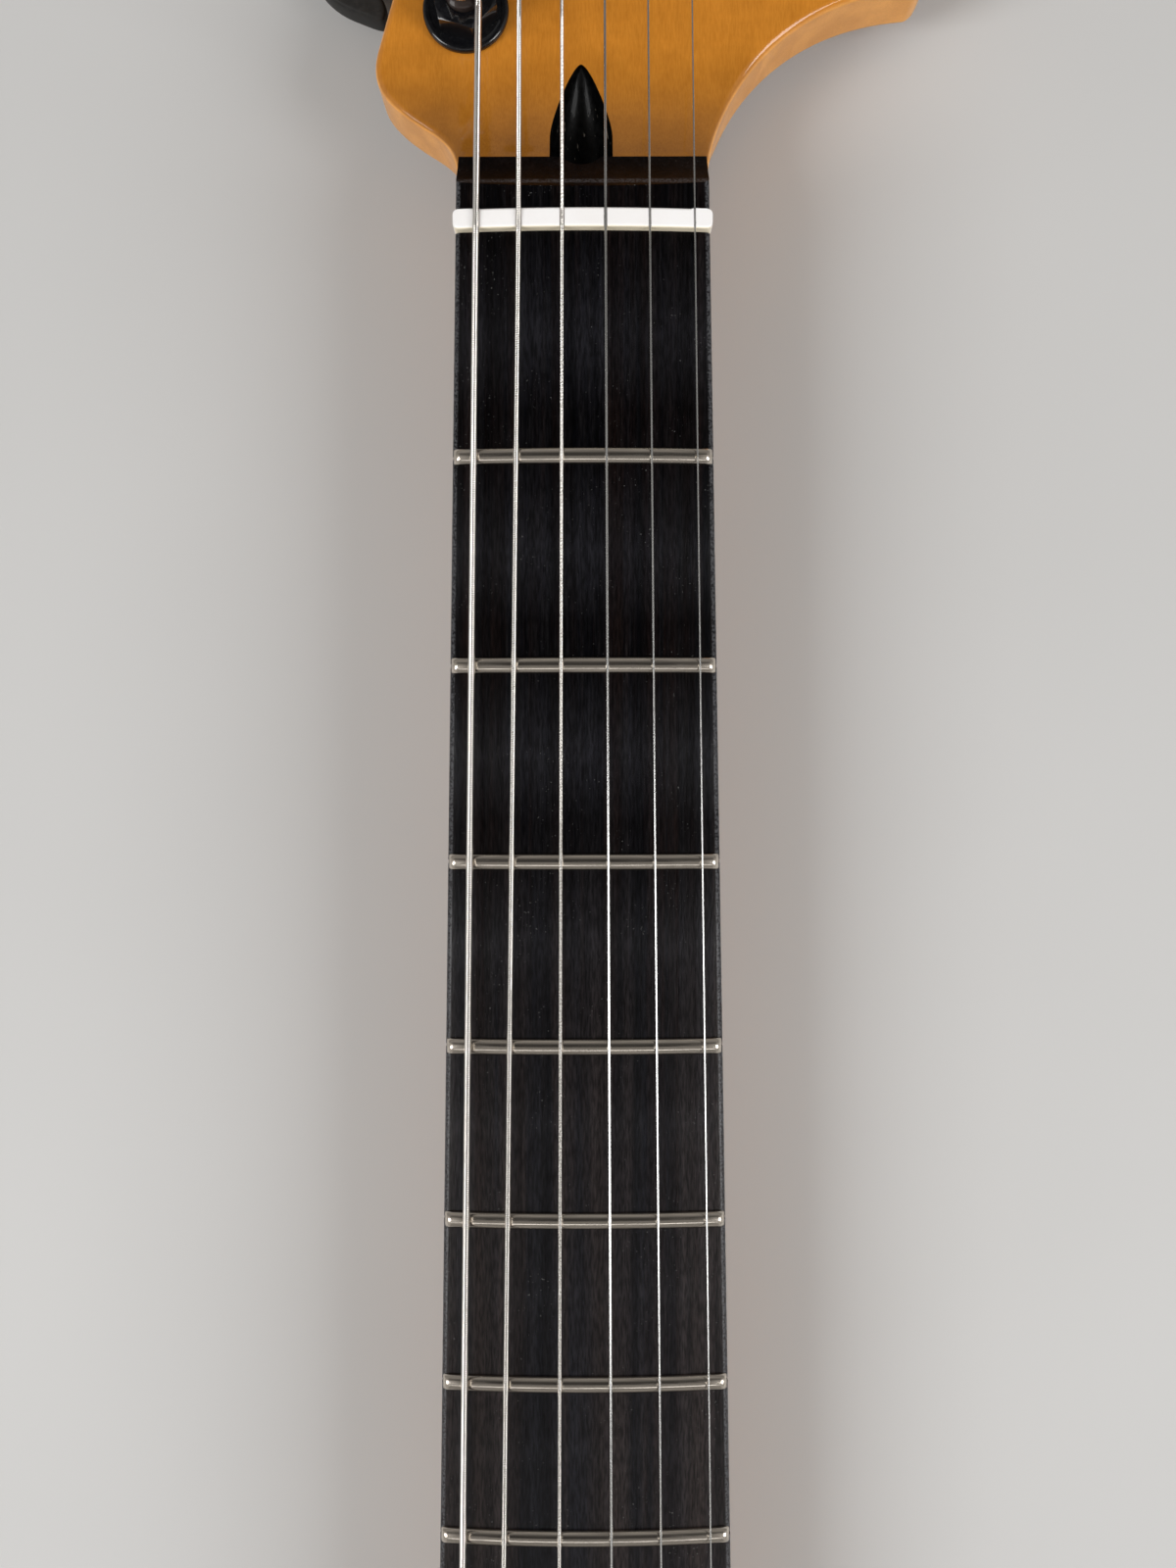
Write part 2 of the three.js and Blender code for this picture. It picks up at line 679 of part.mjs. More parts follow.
// Everything on the headstock side of the toe of the board
function aboveSlope() {
  const low = along(BOARD_TOE);
  const high = along(HEAD_LENGTH);
  return box([0, (low + high) / 2, HEAD_THICKNESS], [HORN_REACH, high - low, 2 * CROWN_Z]);
}

// Fingerboard

function boardRing(d) {
  const half = halfWidth(d);
  const ring = [];
  for (let k = 0; k <= BOARD_COLUMNS; k += 1) {
    const x = half * (1 - (2 * k) / BOARD_COLUMNS);
    ring.push(new THREE.Vector3(x, along(d), crownZ(x)));
  }
  ring.push(new THREE.Vector3(-half, along(d), NECK_DEPTH + GLUE_LINE));
  ring.push(new THREE.Vector3(half, along(d), NECK_DEPTH + GLUE_LINE));
  return ring;
}

function fretboard() {
  const between = BOARD_STATION_FRETS.map((n) => (fretPlace(n) + fretPlace(n + 1)) / 2);
  let board = loft([-BOARD_LENGTH, ...between, BOARD_TOE + OVERRUN].map(boardRing));
  for (let n = 1; n <= FRET_COUNT; n += 1) {
    const d = fretPlace(n);
    board = board.subtract(tangSlot(d));
  }
  board = board.subtract(box(
    [0, along(NUT_THICKNESS / 2), CROWN_Z - NUT_SLOT_DEPTH + OVERRUN],
    [2 * NUT_WIDTH, NUT_THICKNESS + 2 * NUT_CLEARANCE, 2 * OVERRUN],
  ));
  board = board.subtract(slopeCutter()).subtract(accessBore());
  return board;
}

function slopeCutter() {
  const top = CROWN_Z + OVERRUN;
  const points = sweepPoints(CROWN_Z).filter(([d]) => d <= BOARD_TOE + OVERRUN);
  return acrossPrism([
    [BOARD_TOE + 2 * OVERRUN, top],
    [BOARD_TOE + 2 * OVERRUN, HEAD_THICKNESS],
    ...points.map(([d, z]) => [d, z + GLUE_LINE]),
    [points[points.length - 1][0], top],
  ], NUT_WIDTH);
}

// Saw cut for a tang, its floor flat across the board
function tangSlot(d) {
  const floor = tangFloor(d) - TANG_BOTTOM_CLEARANCE;
  const top = CROWN_Z + OVERRUN;
  return box(
    [0, along(d), (floor + top) / 2],
    [BOARD_END_WIDTH + OVERRUN, TANG_THICKNESS + 2 * TANG_CLEARANCE, top - floor],
  );
}

function tangFloor(d) {
  return crownZ(halfWidth(d)) - TANG_DEPTH;
}

// A fret: crown wire with bevelled ends over a tang that stands in the slot
function fret(number) {
  const d = fretPlace(number);
  const half = halfWidth(d);
  const floor = tangFloor(d);
  const rings = [];
  for (let k = 0; k <= BOARD_COLUMNS; k += 1) {
    const atEnd = k === 0 || k === BOARD_COLUMNS;
    const side = Math.sign(k - BOARD_COLUMNS / 2);
    const x = half * ((2 * k) / BOARD_COLUMNS - 1) - (atEnd ? side * FRET_END_INSET : 0);
    const seat = crownZ(x) + FRET_SEAT;
    const ring = fretCrownShares.map(([across, up]) => new THREE.Vector3(
      x - (atEnd ? side * FRET_END_BEVEL * up : 0),
      along(d) + across * FRET_WIDTH,
      seat + up * FRET_HEIGHT,
    ));
    const tang = TANG_THICKNESS / 2;
    for (const [dy, z] of [[-tang, seat], [-tang, floor], [tang, floor], [tang, seat]]) {
      ring.push(new THREE.Vector3(x, along(d) + dy, z));
    }
    rings.push(ring);
  }
  return loft(rings);
}

// Strings

function stringRadius(i) {
  return STRING_DIAMETERS[i] / 2;
}

function nutHeight(i) {
  return crownZ(NUT_PLACES[i]) + STRING_SLOT_HEIGHT + stringRadius(i);
}

// Centre of string i over the board, d behind the nut as a negative number
function overBoard(i, d) {
  const slope = (BOARD_END_PLACES[i] - NUT_PLACES[i]) / -BOARD_LENGTH;
  const x = NUT_PLACES[i] + slope * d;
  const twelfth = fretPlace(FRETS_PER_OCTAVE);
  const share = i / (TUNER_COUNT - 1);
  const action = ACTION_LOW + (ACTION_HIGH - ACTION_LOW) * share;
  const atTwelfth = crownZ(NUT_PLACES[i] + slope * twelfth) + FRET_HEIGHT + action + stringRadius(i);
  const z = nutHeight(i) + ((atTwelfth - nutHeight(i)) * d) / twelfth;
  return new THREE.Vector3(x, along(d), z);
}

function windingRadius(i) {
  return WAIST_RADIUS + WINDING_CLEARANCE + stringRadius(i);
}

// Where string i reaches its post and the winding begins
function landing(i) {
  const post = postPlace(i);
  return new THREE.Vector3(post.x + windingRadius(i), post.y - STRING_DIAMETERS[i], WINDING_START_Z);
}

function treeFor(i) {
  return TREE_STRINGS.findIndex((pair) => pair.includes(i));
}

function treePoint(i) {
  const tree = treeFor(i);
  const end = landing(i);
  const d = TREE_PLACES[tree];
  const share = d / (end.y - NUT_Y);
  return new THREE.Vector3(
    NUT_PLACES[i] + (end.x - NUT_PLACES[i]) * share,
    along(d),
    TREE_STRING_Z[tree],
  );
}

function stringPath(i) {
  const points = [
    overBoard(i, -BOARD_LENGTH - STRING_TAIL),
    overBoard(i, fretPlace(FRETS_PER_OCTAVE)),
    overBoard(i, 0),
  ];
  if (treeFor(i) >= 0) points.push(treePoint(i));
  const end = landing(i);
  const last = points[points.length - 1];
  const level = new THREE.Vector3(end.x, end.y - STRING_GAP - STRING_DIAMETERS[i], end.z);
  if (level.y > last.y) points.push(level);
  points.push(new THREE.Vector3(end.x, end.y - STRING_GAP, end.z));
  return points;
}

function string(i) {
  const path = stringPath(i);
  const wire = tube(path, stringRadius(i), STRING_SIDES);
  const start = path[0];
  const ball = cylinderX(BALL_RADIUS, start.x - BALL_LENGTH / 2, start.x + BALL_LENGTH / 2,
    start.y - BALL_RADIUS + STRING_GAP, start.z, SMALL_SIDES);
  return wire.add(ball);
}

// Nut

function nut() {
  const half = NUT_WIDTH / 2;
  const base = CROWN_Z - NUT_SLOT_DEPTH + NUT_CLEARANCE;
  const rings = [0, NUT_THICKNESS].map((d) => {
    const drop = d === 0 ? 0 : NUT_BACK_DROP;
    const ring = [];
    for (let k = 0; k <= BOARD_COLUMNS; k += 1) {
      const x = half * (1 - (2 * k) / BOARD_COLUMNS);
      ring.push(new THREE.Vector3(x, along(d), crownZ(x) + NUT_HEIGHT - drop));
    }
    ring.push(new THREE.Vector3(-half, along(d), base));
    ring.push(new THREE.Vector3(half, along(d), base));
    return ring;
  });
  let body = loft(rings);
  for (let i = 0; i < TUNER_COUNT; i += 1) body = body.subtract(stringSlot(i));
  return body;
}

// Round-bottomed slot that follows the string down from the front edge of the nut
function stringSlot(i) {
  const from = overBoard(i, 0);
  const to = stringPath(i)[3];
  const run = to.clone().sub(from).normalize();
  const half = stringRadius(i) + STRING_SLOT_CLEARANCE;
  const rings = [-OVERRUN, NUT_THICKNESS + OVERRUN].map((reach) => {
    const centre = from.clone().addScaledVector(run, reach);
    const ring = [];
    for (let k = 0; k <= STRING_SIDES; k += 1) {
      const turn = Math.PI + (Math.PI * k) / STRING_SIDES;
      ring.push(new THREE.Vector3(
        centre.x + half * Math.cos(turn),
        centre.y,
        centre.z + half * Math.sin(turn),
      ));
    }
    ring.push(new THREE.Vector3(centre.x + half, centre.y, centre.z + OVERRUN));
    ring.push(new THREE.Vector3(centre.x - half, centre.y, centre.z + OVERRUN));
    return ring;
  });
  return loft(rings);
}

// Truss rod: a rod that turns with its nut, over a flat bar with a block at each end

function rodEnds() {
  return [
    along(-NECK_LENGTH + CHANNEL_HEEL_MARGIN) + ROD_CLEARANCE,
    along(-ACCESS_DEPTH) - ROD_NUT_SEAT,
  ];
}

function trussBar() {
  const [low, high] = rodEnds();
  const floor = NECK_DEPTH - CHANNEL_DEPTH + ROD_CLEARANCE;
  const width = CHANNEL_WIDTH - 2 * ROD_CLEARANCE;
  const top = NECK_DEPTH - ROD_CLEARANCE;
  let bar = box([ACCESS_OFFSET, (low + high) / 2, floor + ROD_BAR_HEIGHT / 2],
    [width, high - low, ROD_BAR_HEIGHT]);
  for (const y of [low + ROD_BLOCK_LENGTH / 2, high - ROD_BLOCK_LENGTH / 2]) {
    bar = bar.add(box([ACCESS_OFFSET, y, (floor + top) / 2], [width, ROD_BLOCK_LENGTH, top - floor]));
  }
  return bar.subtract(cylinderY(boreCorner(ROD_RADIUS + ROD_BLOCK_CLEARANCE), low - OVERRUN,
    high + OVERRUN, ACCESS_OFFSET, ACCESS_AXIS_Z));
}

function trussRod() {
  const [low, high] = rodEnds();
  return cylinderY(ROD_RADIUS, low, high, ACCESS_OFFSET, ACCESS_AXIS_Z);
}

function trussNut() {
  const low = along(-ACCESS_DEPTH);
  const high = low + ROD_NUT_LENGTH;
  const barrel = cylinderY(ROD_NUT_RADIUS, low, high, ACCESS_OFFSET, ACCESS_AXIS_Z);
  const socket = cylinderY(ROD_NUT_SOCKET_RADIUS, high - ROD_NUT_SOCKET_DEPTH, high + OVERRUN,
    ACCESS_OFFSET, ACCESS_AXIS_Z, HEX_SIDES);
  return barrel.subtract(socket);
}

// Tuning machine, in its own frame: X leaves the headstock edge, the post turns about Z

function wormThread() {
  const count = Math.round(WORM_TURNS * WORM_STEPS);
  const rings = [];
  for (let k = 0; k <= count; k += 1) {
    const turns = (k - count / 2) / WORM_STEPS;
    const angle = 2 * Math.PI * turns;
    const x = -WORM_PITCH * turns;
    const flank = TOOTH_ROOT_WIDTH / 2;
    const crest = TOOTH_TIP_WIDTH / 2;
    const bed = WORM_ROOT_RADIUS - THREAD_DEPTH / 2;
    const profile = [[-flank, bed], [-crest, WORM_TIP_RADIUS], [crest, WORM_TIP_RADIUS], [flank, bed]];
    rings.push(profile.map(([dx, radius]) => new THREE.Vector3(
      x + dx,
      -WORM_OFFSET - radius * Math.cos(angle),
      GEAR_PLANE_Z - radius * Math.sin(angle),
    )));
  }
  return loft(rings);
}

function wormShaft() {
  const half = WORM_CHAMBER_LENGTH / 2 - RUNNING_CLEARANCE;
  const core = cylinderX(WORM_ROOT_RADIUS, -half, half, -WORM_OFFSET, GEAR_PLANE_Z, SMALL_SIDES);
  const shaft = cylinderX(SHAFT_RADIUS, -half - HOUSING_WALL, BUTTON_NECK_START + OVERRUN,
    -WORM_OFFSET, GEAR_PLANE_Z, SMALL_SIDES);
  return core.add(shaft).add(wormThread());
}

function buttonBody() {
  const path = new THREE.Shape();
  const [corner, outer] = buttonOutlineShares;
  const at = (sx, sy) => [BUTTON_START + sx * BUTTON_LENGTH, sy * BUTTON_HALF_WIDTH];
  const [ax, ay, bx, by, cx, cy] = buttonNotchShares;
  path.moveTo(...at(cx, cy));
  path.quadraticCurveTo(...at(0, -1), ...at(corner[0], corner[1]));
  path.lineTo(...at(corner[2], corner[3]));
  path.bezierCurveTo(...at(outer[0], outer[1]), ...at(outer[2], outer[3]), ...at(outer[4], 0));
  path.bezierCurveTo(...at(outer[2], -outer[3]), ...at(outer[0], -outer[1]),
    ...at(corner[2], -corner[3]));
  path.lineTo(...at(corner[0], -corner[1]));
  path.quadraticCurveTo(...at(0, 1), ...at(cx, -cy));
  path.quadraticCurveTo(...at(bx, -by), ...at(ax, ay));
  path.quadraticCurveTo(...at(bx, by), ...at(cx, cy));
  const geometry = new THREE.ExtrudeGeometry(path, {
    depth: BUTTON_THICKNESS - 2 * BUTTON_BEVEL,
    bevelThickness: BUTTON_BEVEL,
    bevelSize: BUTTON_BEVEL,
    bevelOffset: -BUTTON_BEVEL,
    bevelSegments: 1,
    curveSegments: BUTTON_CURVE_STEPS,
  });
  geometry.translate(0, -WORM_OFFSET, GEAR_PLANE_Z - BUTTON_THICKNESS / 2 + BUTTON_BEVEL);
  return solid(geometry);
}

function button() {
  const collar = cylinderX(BUTTON_NECK_RADIUS, BUTTON_NECK_START, BUTTON_NECK_END, -WORM_OFFSET,
    GEAR_PLANE_Z, SMALL_SIDES);
  return wormShaft().add(collar).add(buttonBody());
}

// Eighteen teeth, leaning with the lead of the worm
function wormWheel() {
  const lean = Math.atan(WORM_PITCH / (2 * Math.PI * WORM_PITCH_RADIUS));
  const rings = [-1, 1].map((side) => {
    const z = (side * WHEEL_THICKNESS) / 2;
    const twist = -Math.PI / 2 + (z * Math.tan(lean)) / WHEEL_PITCH_RADIUS;
    const ring = [];
    for (let tooth = 0; tooth < WHEEL_TEETH; tooth += 1) {
      const middle = twist + (2 * Math.PI * tooth) / WHEEL_TEETH;
      const root = TOOTH_ROOT_WIDTH / 2 / WHEEL_ROOT_RADIUS;
      const tip = TOOTH_TIP_WIDTH / 2 / WHEEL_TIP_RADIUS;
      for (const [angle, radius] of [
        [-root, WHEEL_ROOT_RADIUS],
        [-tip, WHEEL_TIP_RADIUS],
        [tip, WHEEL_TIP_RADIUS],
        [root, WHEEL_ROOT_RADIUS],
      ]) {
        ring.push(new THREE.Vector3(
          radius * Math.cos(middle + angle),
          radius * Math.sin(middle + angle),
          GEAR_PLANE_Z + z,
        ));
      }
    }
    return ring;
  });
  return loft(rings);
}

// Path of the string round its post, in the frame of the machine
function windingPath(i) {
  const diameter = STRING_DIAMETERS[i];
  const radius = windingRadius(i);
  const east = POST_LINE_ANGLE - Math.PI;
  const rise = diameter + WINDING_GAP;
  const at = (turns, r, z) => new THREE.Vector3(
    r * Math.cos(east + 2 * Math.PI * turns),
    r * Math.sin(east + 2 * Math.PI * turns),
    z,
  );
  const back = new THREE.Vector3(Math.sin(east), -Math.cos(east), 0);
  const points = [at(0, radius, WINDING_START_Z).addScaledVector(back, diameter)];
  const steps = Math.round(WINDING_TURNS[i] * WINDING_STEPS);
  for (let k = 0; k <= steps; k += 1) {
    const turns = k / WINDING_STEPS;
    points.push(at(turns, radius, WINDING_START_Z + rise * turns));
  }
  const last = WINDING_START_Z + rise * WINDING_TURNS[i];
  const ease = windingEndTurnShare * (diameter / (2 * Math.PI * radius));
  points.push(at(WINDING_TURNS[i] + ease, radius - diameter / 2, last));
  points.push(at(WINDING_TURNS[i] + ease, windingEndDepthShare * WAIST_RADIUS, last));
  return points;
}

// Smallest clear distance between turns of a winding, measured on its points
function leastGap(path, diameter) {
  let least = Infinity;
  for (let a = 0; a < path.length; a += 1) {
    for (let b = a + WINDING_STEPS / 2; b < path.length; b += 1) {
      least = Math.min(least, path[a].distanceTo(path[b]) - diameter);
    }
  }
  return least;
}

function winding(i) {
  const path = windingPath(i);
  const gap = leastGap(path.slice(0, -2), STRING_DIAMETERS[i]);
  console.log(`winding ${i + 1}: least gap between turns ${gap.toFixed(2)} mm`);
  return tube(path, stringRadius(i), WINDING_SIDES);
}

function post(i) {
  const low = GEAR_PLANE_Z - WHEEL_THICKNESS / 2;
  const column = turned([
    [0, low - PIVOT_LENGTH],
    [PIVOT_RADIUS, low - PIVOT_LENGTH],
    [PIVOT_RADIUS, low],
    [POST_RADIUS, low],
    [POST_RADIUS, WAIST_BOTTOM],
    [WAIST_RADIUS, WAIST_BOTTOM + (POST_RADIUS - WAIST_RADIUS) / 2],
    [WAIST_RADIUS, WAIST_TOP],
    [POST_RADIUS, WAIST_TOP + (POST_RADIUS - WAIST_RADIUS) / 2],
    [POST_RADIUS, POST_TOP - POST_CHAMFER],
    [POST_RADIUS - POST_CHAMFER, POST_TOP],
    [0, POST_TOP],
  ], ROUND_SIDES);
  return column.add(wormWheel()).add(winding(i));
}

function housing() {
  const wheelRoom = WHEEL_TIP_RADIUS + RUNNING_CLEARANCE;
  const wormRoom = WORM_TIP_RADIUS + RUNNING_CLEARANCE;
  const left = -wheelRoom - HOUSING_WALL;
  const right = wheelRoom + HOUSING_WALL;
  const far = -WORM_OFFSET - wormRoom - HOUSING_WALL;
  const near = wheelRoom + HOUSING_WALL;
  const top = -MACHINE_SEAT;
  const floor = top - HOUSING_DEPTH;
  const path = new THREE.Shape();
  path.moveTo(left + HOUSING_CORNER, far);
  path.lineTo(right - HOUSING_CORNER, far);
  path.absarc(right - HOUSING_CORNER, far + HOUSING_CORNER, HOUSING_CORNER, -Math.PI / 2, 0);
  path.absarc(0, 0, near, 0, Math.PI);
  path.absarc(left + HOUSING_CORNER, far + HOUSING_CORNER, HOUSING_CORNER, Math.PI, 1.5 * Math.PI);
  let body = prism(path, floor, top, HOUSING_STEPS);
  body = body.add(cylinderX(HOUSING_BEARING_RADIUS, right - HOUSING_WALL,
    right + HOUSING_BEARING_LENGTH, -WORM_OFFSET, GEAR_PLANE_Z, SMALL_SIDES));
  body = body.add(ear(left, top));
  const gap = RUNNING_CLEARANCE;
  const low = GEAR_PLANE_Z - WHEEL_THICKNESS / 2;
  const high = GEAR_PLANE_Z + WHEEL_THICKNESS / 2;
  const chamber = WORM_CHAMBER_LENGTH / 2;
  const postBore = POST_RADIUS + POST_CLEARANCE;
  const cuts = [
    cylinderZ(boreCorner(wheelRoom), low - gap, high + gap),
    cylinderX(boreCorner(wormRoom, SMALL_SIDES), -chamber, chamber, -WORM_OFFSET, GEAR_PLANE_Z,
      SMALL_SIDES),
    cylinderZ(boreCorner(postBore), high, top + OVERRUN),
    cylinderZ(boreCorner(PIVOT_RADIUS + POST_CLEARANCE), low - PIVOT_LENGTH - gap, low),
    cylinderX(boreCorner(SHAFT_RADIUS + SHAFT_CLEARANCE, SMALL_SIDES),
      -chamber - HOUSING_WALL - gap, right + HOUSING_BEARING_LENGTH + OVERRUN,
      -WORM_OFFSET, GEAR_PLANE_Z, SMALL_SIDES),
  ];
  for (const cut of cuts) body = body.subtract(cut);
  return body;
}

// Fixing ear with the hole for one wood screw
function ear(left, top) {
  const path = new THREE.Shape();
  path.moveTo(left + EAR_RADIUS, EAR_RADIUS);
  path.lineTo(-EAR_REACH, EAR_RADIUS);
  path.absarc(-EAR_REACH, 0, EAR_RADIUS, Math.PI / 2, 1.5 * Math.PI);
  path.lineTo(left + EAR_RADIUS, -EAR_RADIUS);
  const tab = prism(path, top - EAR_THICKNESS, top, HOUSING_STEPS);
  return tab.subtract(cylinderZ(EAR_HOLE_RADIUS, top - OVERRUN, top + OVERRUN, -EAR_REACH, 0,
    SMALL_SIDES));
}

function bushing() {
  const face = HEAD_THICKNESS + MACHINE_SEAT;
  const washerTop = face + WASHER_THICKNESS;
  const hexTop = washerTop + HEX_HEIGHT;
  const corner = HEX_ACROSS_FLATS / 2 / Math.cos(Math.PI / HEX_SIDES);
  const base = turned([
    [0, face - SLEEVE_LENGTH],
    [SLEEVE_RADIUS, face - SLEEVE_LENGTH],
    [SLEEVE_RADIUS, face],
    [WASHER_RADIUS, face],
    [WASHER_RADIUS, washerTop - WASHER_THICKNESS / 2],
    [WASHER_RADIUS - WASHER_THICKNESS / 2, washerTop],
    [0, washerTop],
  ], WASHER_SIDES);
  const chamfered = turned([
    [0, washerTop],
    [corner, washerTop],
    [corner, hexTop - HEX_CHAMFER],
    [corner - 2 * HEX_CHAMFER, hexTop],
    [0, hexTop],
  ], ROUND_SIDES);
  const hex = cylinderZ(corner, washerTop - WASHER_THICKNESS / 2, hexTop + OVERRUN, 0, 0,
    HEX_SIDES);
  const bore = cylinderZ(boreCorner(POST_RADIUS + POST_CLEARANCE),
    face - SLEEVE_LENGTH - OVERRUN, hexTop + OVERRUN);
  return base.add(hex.intersect(chamfered)).subtract(bore);
}

function tuner(i, parent) {
  const place = postPlace(i);
  const group = new THREE.Group();
  group.position.set(place.x, place.y, 0);
  group.rotation.z = Math.PI - POST_LINE_ANGLE;
  parent.add(group);
  const name = `tuner_${i + 1}`;
  piece(`${name}_housing`, housing(), 'blackMetal', group);
  piece(`${name}_post`, post(i), 'darkMetal', group);
  piece(`${name}_button`, button(), 'satinBlack', group);
  piece(`${name}_bushing`, bushing(), 'blackMetal', group);
}

// String tree: a bent strip that holds two strings down, on a stem with its screw
function stringTree(tree) {
  const [a, b] = TREE_STRINGS[tree].map(treePoint);
  const radius = Math.max(...TREE_STRINGS[tree].map(stringRadius));
  const x = (a.x + b.x) / 2;
  const y = a.y;
  const low = a.z + radius + TREE_CLEARANCE;
  const shape = new THREE.Shape();
  const turn = -Math.PI / 2;
  shape.absarc(0, 0, TREE_BEND_RADIUS, turn - TREE_BEND_ANGLE, turn + TREE_BEND_ANGLE);
  shape.absarc(0, 0, TREE_BEND_RADIUS - TREE_THICKNESS, turn + TREE_BEND_ANGLE,
    turn - TREE_BEND_ANGLE, true);
  const strip = new THREE.ExtrudeGeometry(shape, {
    depth: TREE_LENGTH,
    bevelEnabled: false,
    curveSegments: OUTLINE_STEPS,
  });
  strip.translate(0, 0, -TREE_LENGTH / 2);
  strip.applyMatrix4(new THREE.Matrix4().set(
    0, 0, 1, x,
    1, 0, 0, y,
    0, 1, 0, low + TREE_BEND_RADIUS,
    0, 0, 0, 1,
  ));
  const stem = cylinderZ(TREE_STEM_RADIUS, HEAD_THICKNESS + TREE_SEAT, low + TREE_THICKNESS, x, y,
    SMALL_SIDES);
  const headLow = low + TREE_THICKNESS / 2;
  const head = cylinderZ(TREE_SCREW_RADIUS, headLow, low + TREE_THICKNESS + TREE_SCREW_HEIGHT, x, y,
    SMALL_SIDES);
  return solid(strip).add(stem).add(head);
}

// Assembly

const neck = new THREE.Group();
piece('neck_shaft', neckShaft(), 'maple', neck);
piece('fretboard', fretboard(), 'board', neck);
piece('nut', nut(), 'bone', neck);
for (let n = 1; n <= FRET_COUNT; n += 1) {
  piece(`fret_${String(n).padStart(2, '0')}`, fret(n), 'nickel', neck);
}
piece('truss_rod', trussRod(), 'steel', neck);
piece('truss_rod_bar', trussBar(), 'steel', neck);
piece('truss_rod_nut', trussNut(), 'brass', neck);
for (let i = 0; i < TUNER_COUNT; i += 1) {
  tuner(i, neck);
  piece(`string_${i + 1}`, string(i), 'wire', neck);
}
TREE_STRINGS.forEach((pair, tree) => {
  piece(`string_tree_${tree + 1}`, stringTree(tree), 'blackMetal', neck);
});

export default neck;
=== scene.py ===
import math

import bpy
from mathutils import Matrix, Vector


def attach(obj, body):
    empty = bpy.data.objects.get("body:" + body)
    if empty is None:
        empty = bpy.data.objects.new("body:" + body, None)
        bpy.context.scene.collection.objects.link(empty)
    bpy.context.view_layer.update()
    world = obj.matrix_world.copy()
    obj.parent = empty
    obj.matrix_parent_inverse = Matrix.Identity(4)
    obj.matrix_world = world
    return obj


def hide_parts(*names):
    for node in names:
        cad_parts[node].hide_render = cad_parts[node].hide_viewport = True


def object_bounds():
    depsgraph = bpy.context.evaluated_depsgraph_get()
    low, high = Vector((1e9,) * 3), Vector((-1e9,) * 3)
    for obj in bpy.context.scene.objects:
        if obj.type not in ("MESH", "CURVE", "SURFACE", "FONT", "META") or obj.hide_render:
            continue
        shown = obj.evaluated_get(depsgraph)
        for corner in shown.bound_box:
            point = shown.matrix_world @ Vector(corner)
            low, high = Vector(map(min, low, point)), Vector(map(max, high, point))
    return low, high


# A bolt-on electric guitar neck lying on its back. Sizes are in millimetres and become metres
# where a mesh is made. X is the treble side, Y runs to the headstock, Z leaves the fingerboard.
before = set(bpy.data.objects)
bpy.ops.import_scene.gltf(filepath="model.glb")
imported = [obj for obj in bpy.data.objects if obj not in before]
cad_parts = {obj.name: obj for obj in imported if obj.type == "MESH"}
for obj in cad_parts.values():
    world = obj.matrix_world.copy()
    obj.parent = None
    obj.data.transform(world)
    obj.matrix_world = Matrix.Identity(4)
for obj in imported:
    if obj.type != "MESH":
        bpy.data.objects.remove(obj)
CAD_BOX = [list(corner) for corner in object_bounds()]
MM = 0.001

# Cutters reach this far past a face, up to this height and out to this side
OVERRUN = 5.0
PAST_TOP = 40.0
PAST_SIDE = 40.0

# Scale, fingerboard and neck
SCALE_LENGTH = 647.7
FRET_COUNT = 22
NUT_Y = 419.7
NUT_END_WIDTH = 42.0
BOARD_END_WIDTH = 56.3
BOARD_LENGTH = 472.0
BOARD_RADIUS = 184.15
BOARD_ROLL = 0.9
# Painted sheen in each fret space: where its middle lies and how far it reaches
SHEEN_MIDDLE = 0.45
SHEEN_REACH = 0.35
# Towards the heel: where the painted sheen and brown streaks begin, the run over which they grow, and the
# painted sheen's strength there
HEEL_SHEEN_FROM = -84.0
HEEL_SHEEN_RUN = 84.0
HEEL_SHEEN_SHARE = 0.8
SPACE_SLICES = (0.3, 0.45, 0.6, 0.8)
CROWN_Z = 25.4
NECK_DEPTH = 19.05
NECK_LENGTH = 461.0
GLUE_LINE = 0.05
HEEL_BLOCK = 74.0
HEEL_SLOPE = 34.0
HEEL_CORNER = 3.0
HEEL_HOLES = (19.05, 25.4)
HEEL_PILOT_RADIUS = 1.6
HEEL_PILOT_DEPTH = 15.0
RISE_FIRST = 4.6
RISE_TWELFTH = 2.5
ROUNDNESS = 2.3
RISE_FADE = (-24.0, 36.0)
CARVE_FADE = (-10.0, 24.0)

# Headstock
HEAD_THICKNESS = 14.3
HEAD_LENGTH = 185.0
HORN_REACH = 60.6
SWEEP_RADIUS = 30.0
BOARD_TOE = 14.7
# Painted shade on the headstock face starts here and is darkest at the board's toe
TOE_PAINTED_SHADE_END = 36.0
SWEEP_END = 30.93
EDGE_ROUND = 1.3
BACK_ROUND = 1.6
SHOULDER_BEND = (-27.0, 20.9)
HORN_FRONT = (56.8, 45.0)
SIDE_END = 9.5
TIP_TO_POST = 13.6
SHOULDER_TO_POST = 10.2
SHOULDER_ROOT_SHARES = (0.05, 0.571, 0.317, 0.756)
SHOULDER_CAP_SHARES = (0.693, 0.281, 1.247, 0.525)
HORN_SWEEP_SHARES = (0.011, 0.457, 0.335, 0.949)
HORN_EDGE_SHARES = (
    (0.974, 0.2454, 0.9835, 0.2622, 1.0, 0.281),
    (1.0165, 0.3, 0.998, 0.324, 0.916, 0.338),
    (0.79, 0.358, 0.683, 0.395, 0.653, 0.465),
    (0.602, 0.578, 0.693, 0.757, 0.594, 0.881),
)
TIP_HANDLE_SHARES = (0.528, 0.962, 0.19, 1.062)

# Truss rod access
ACCESS_X = -0.25
ACCESS_Z = 15.0
ACCESS_RADIUS = 5.3
ACCESS_MOUTH = 19.0
ACCESS_TIP = 32.1
ACCESS_TIP_RADIUS = 0.9
CHANNEL_WIDTH = 6.4
CHANNEL_DEPTH = 11.0
CHANNEL_ENDS = (26.0 - NECK_LENGTH, -9.0)

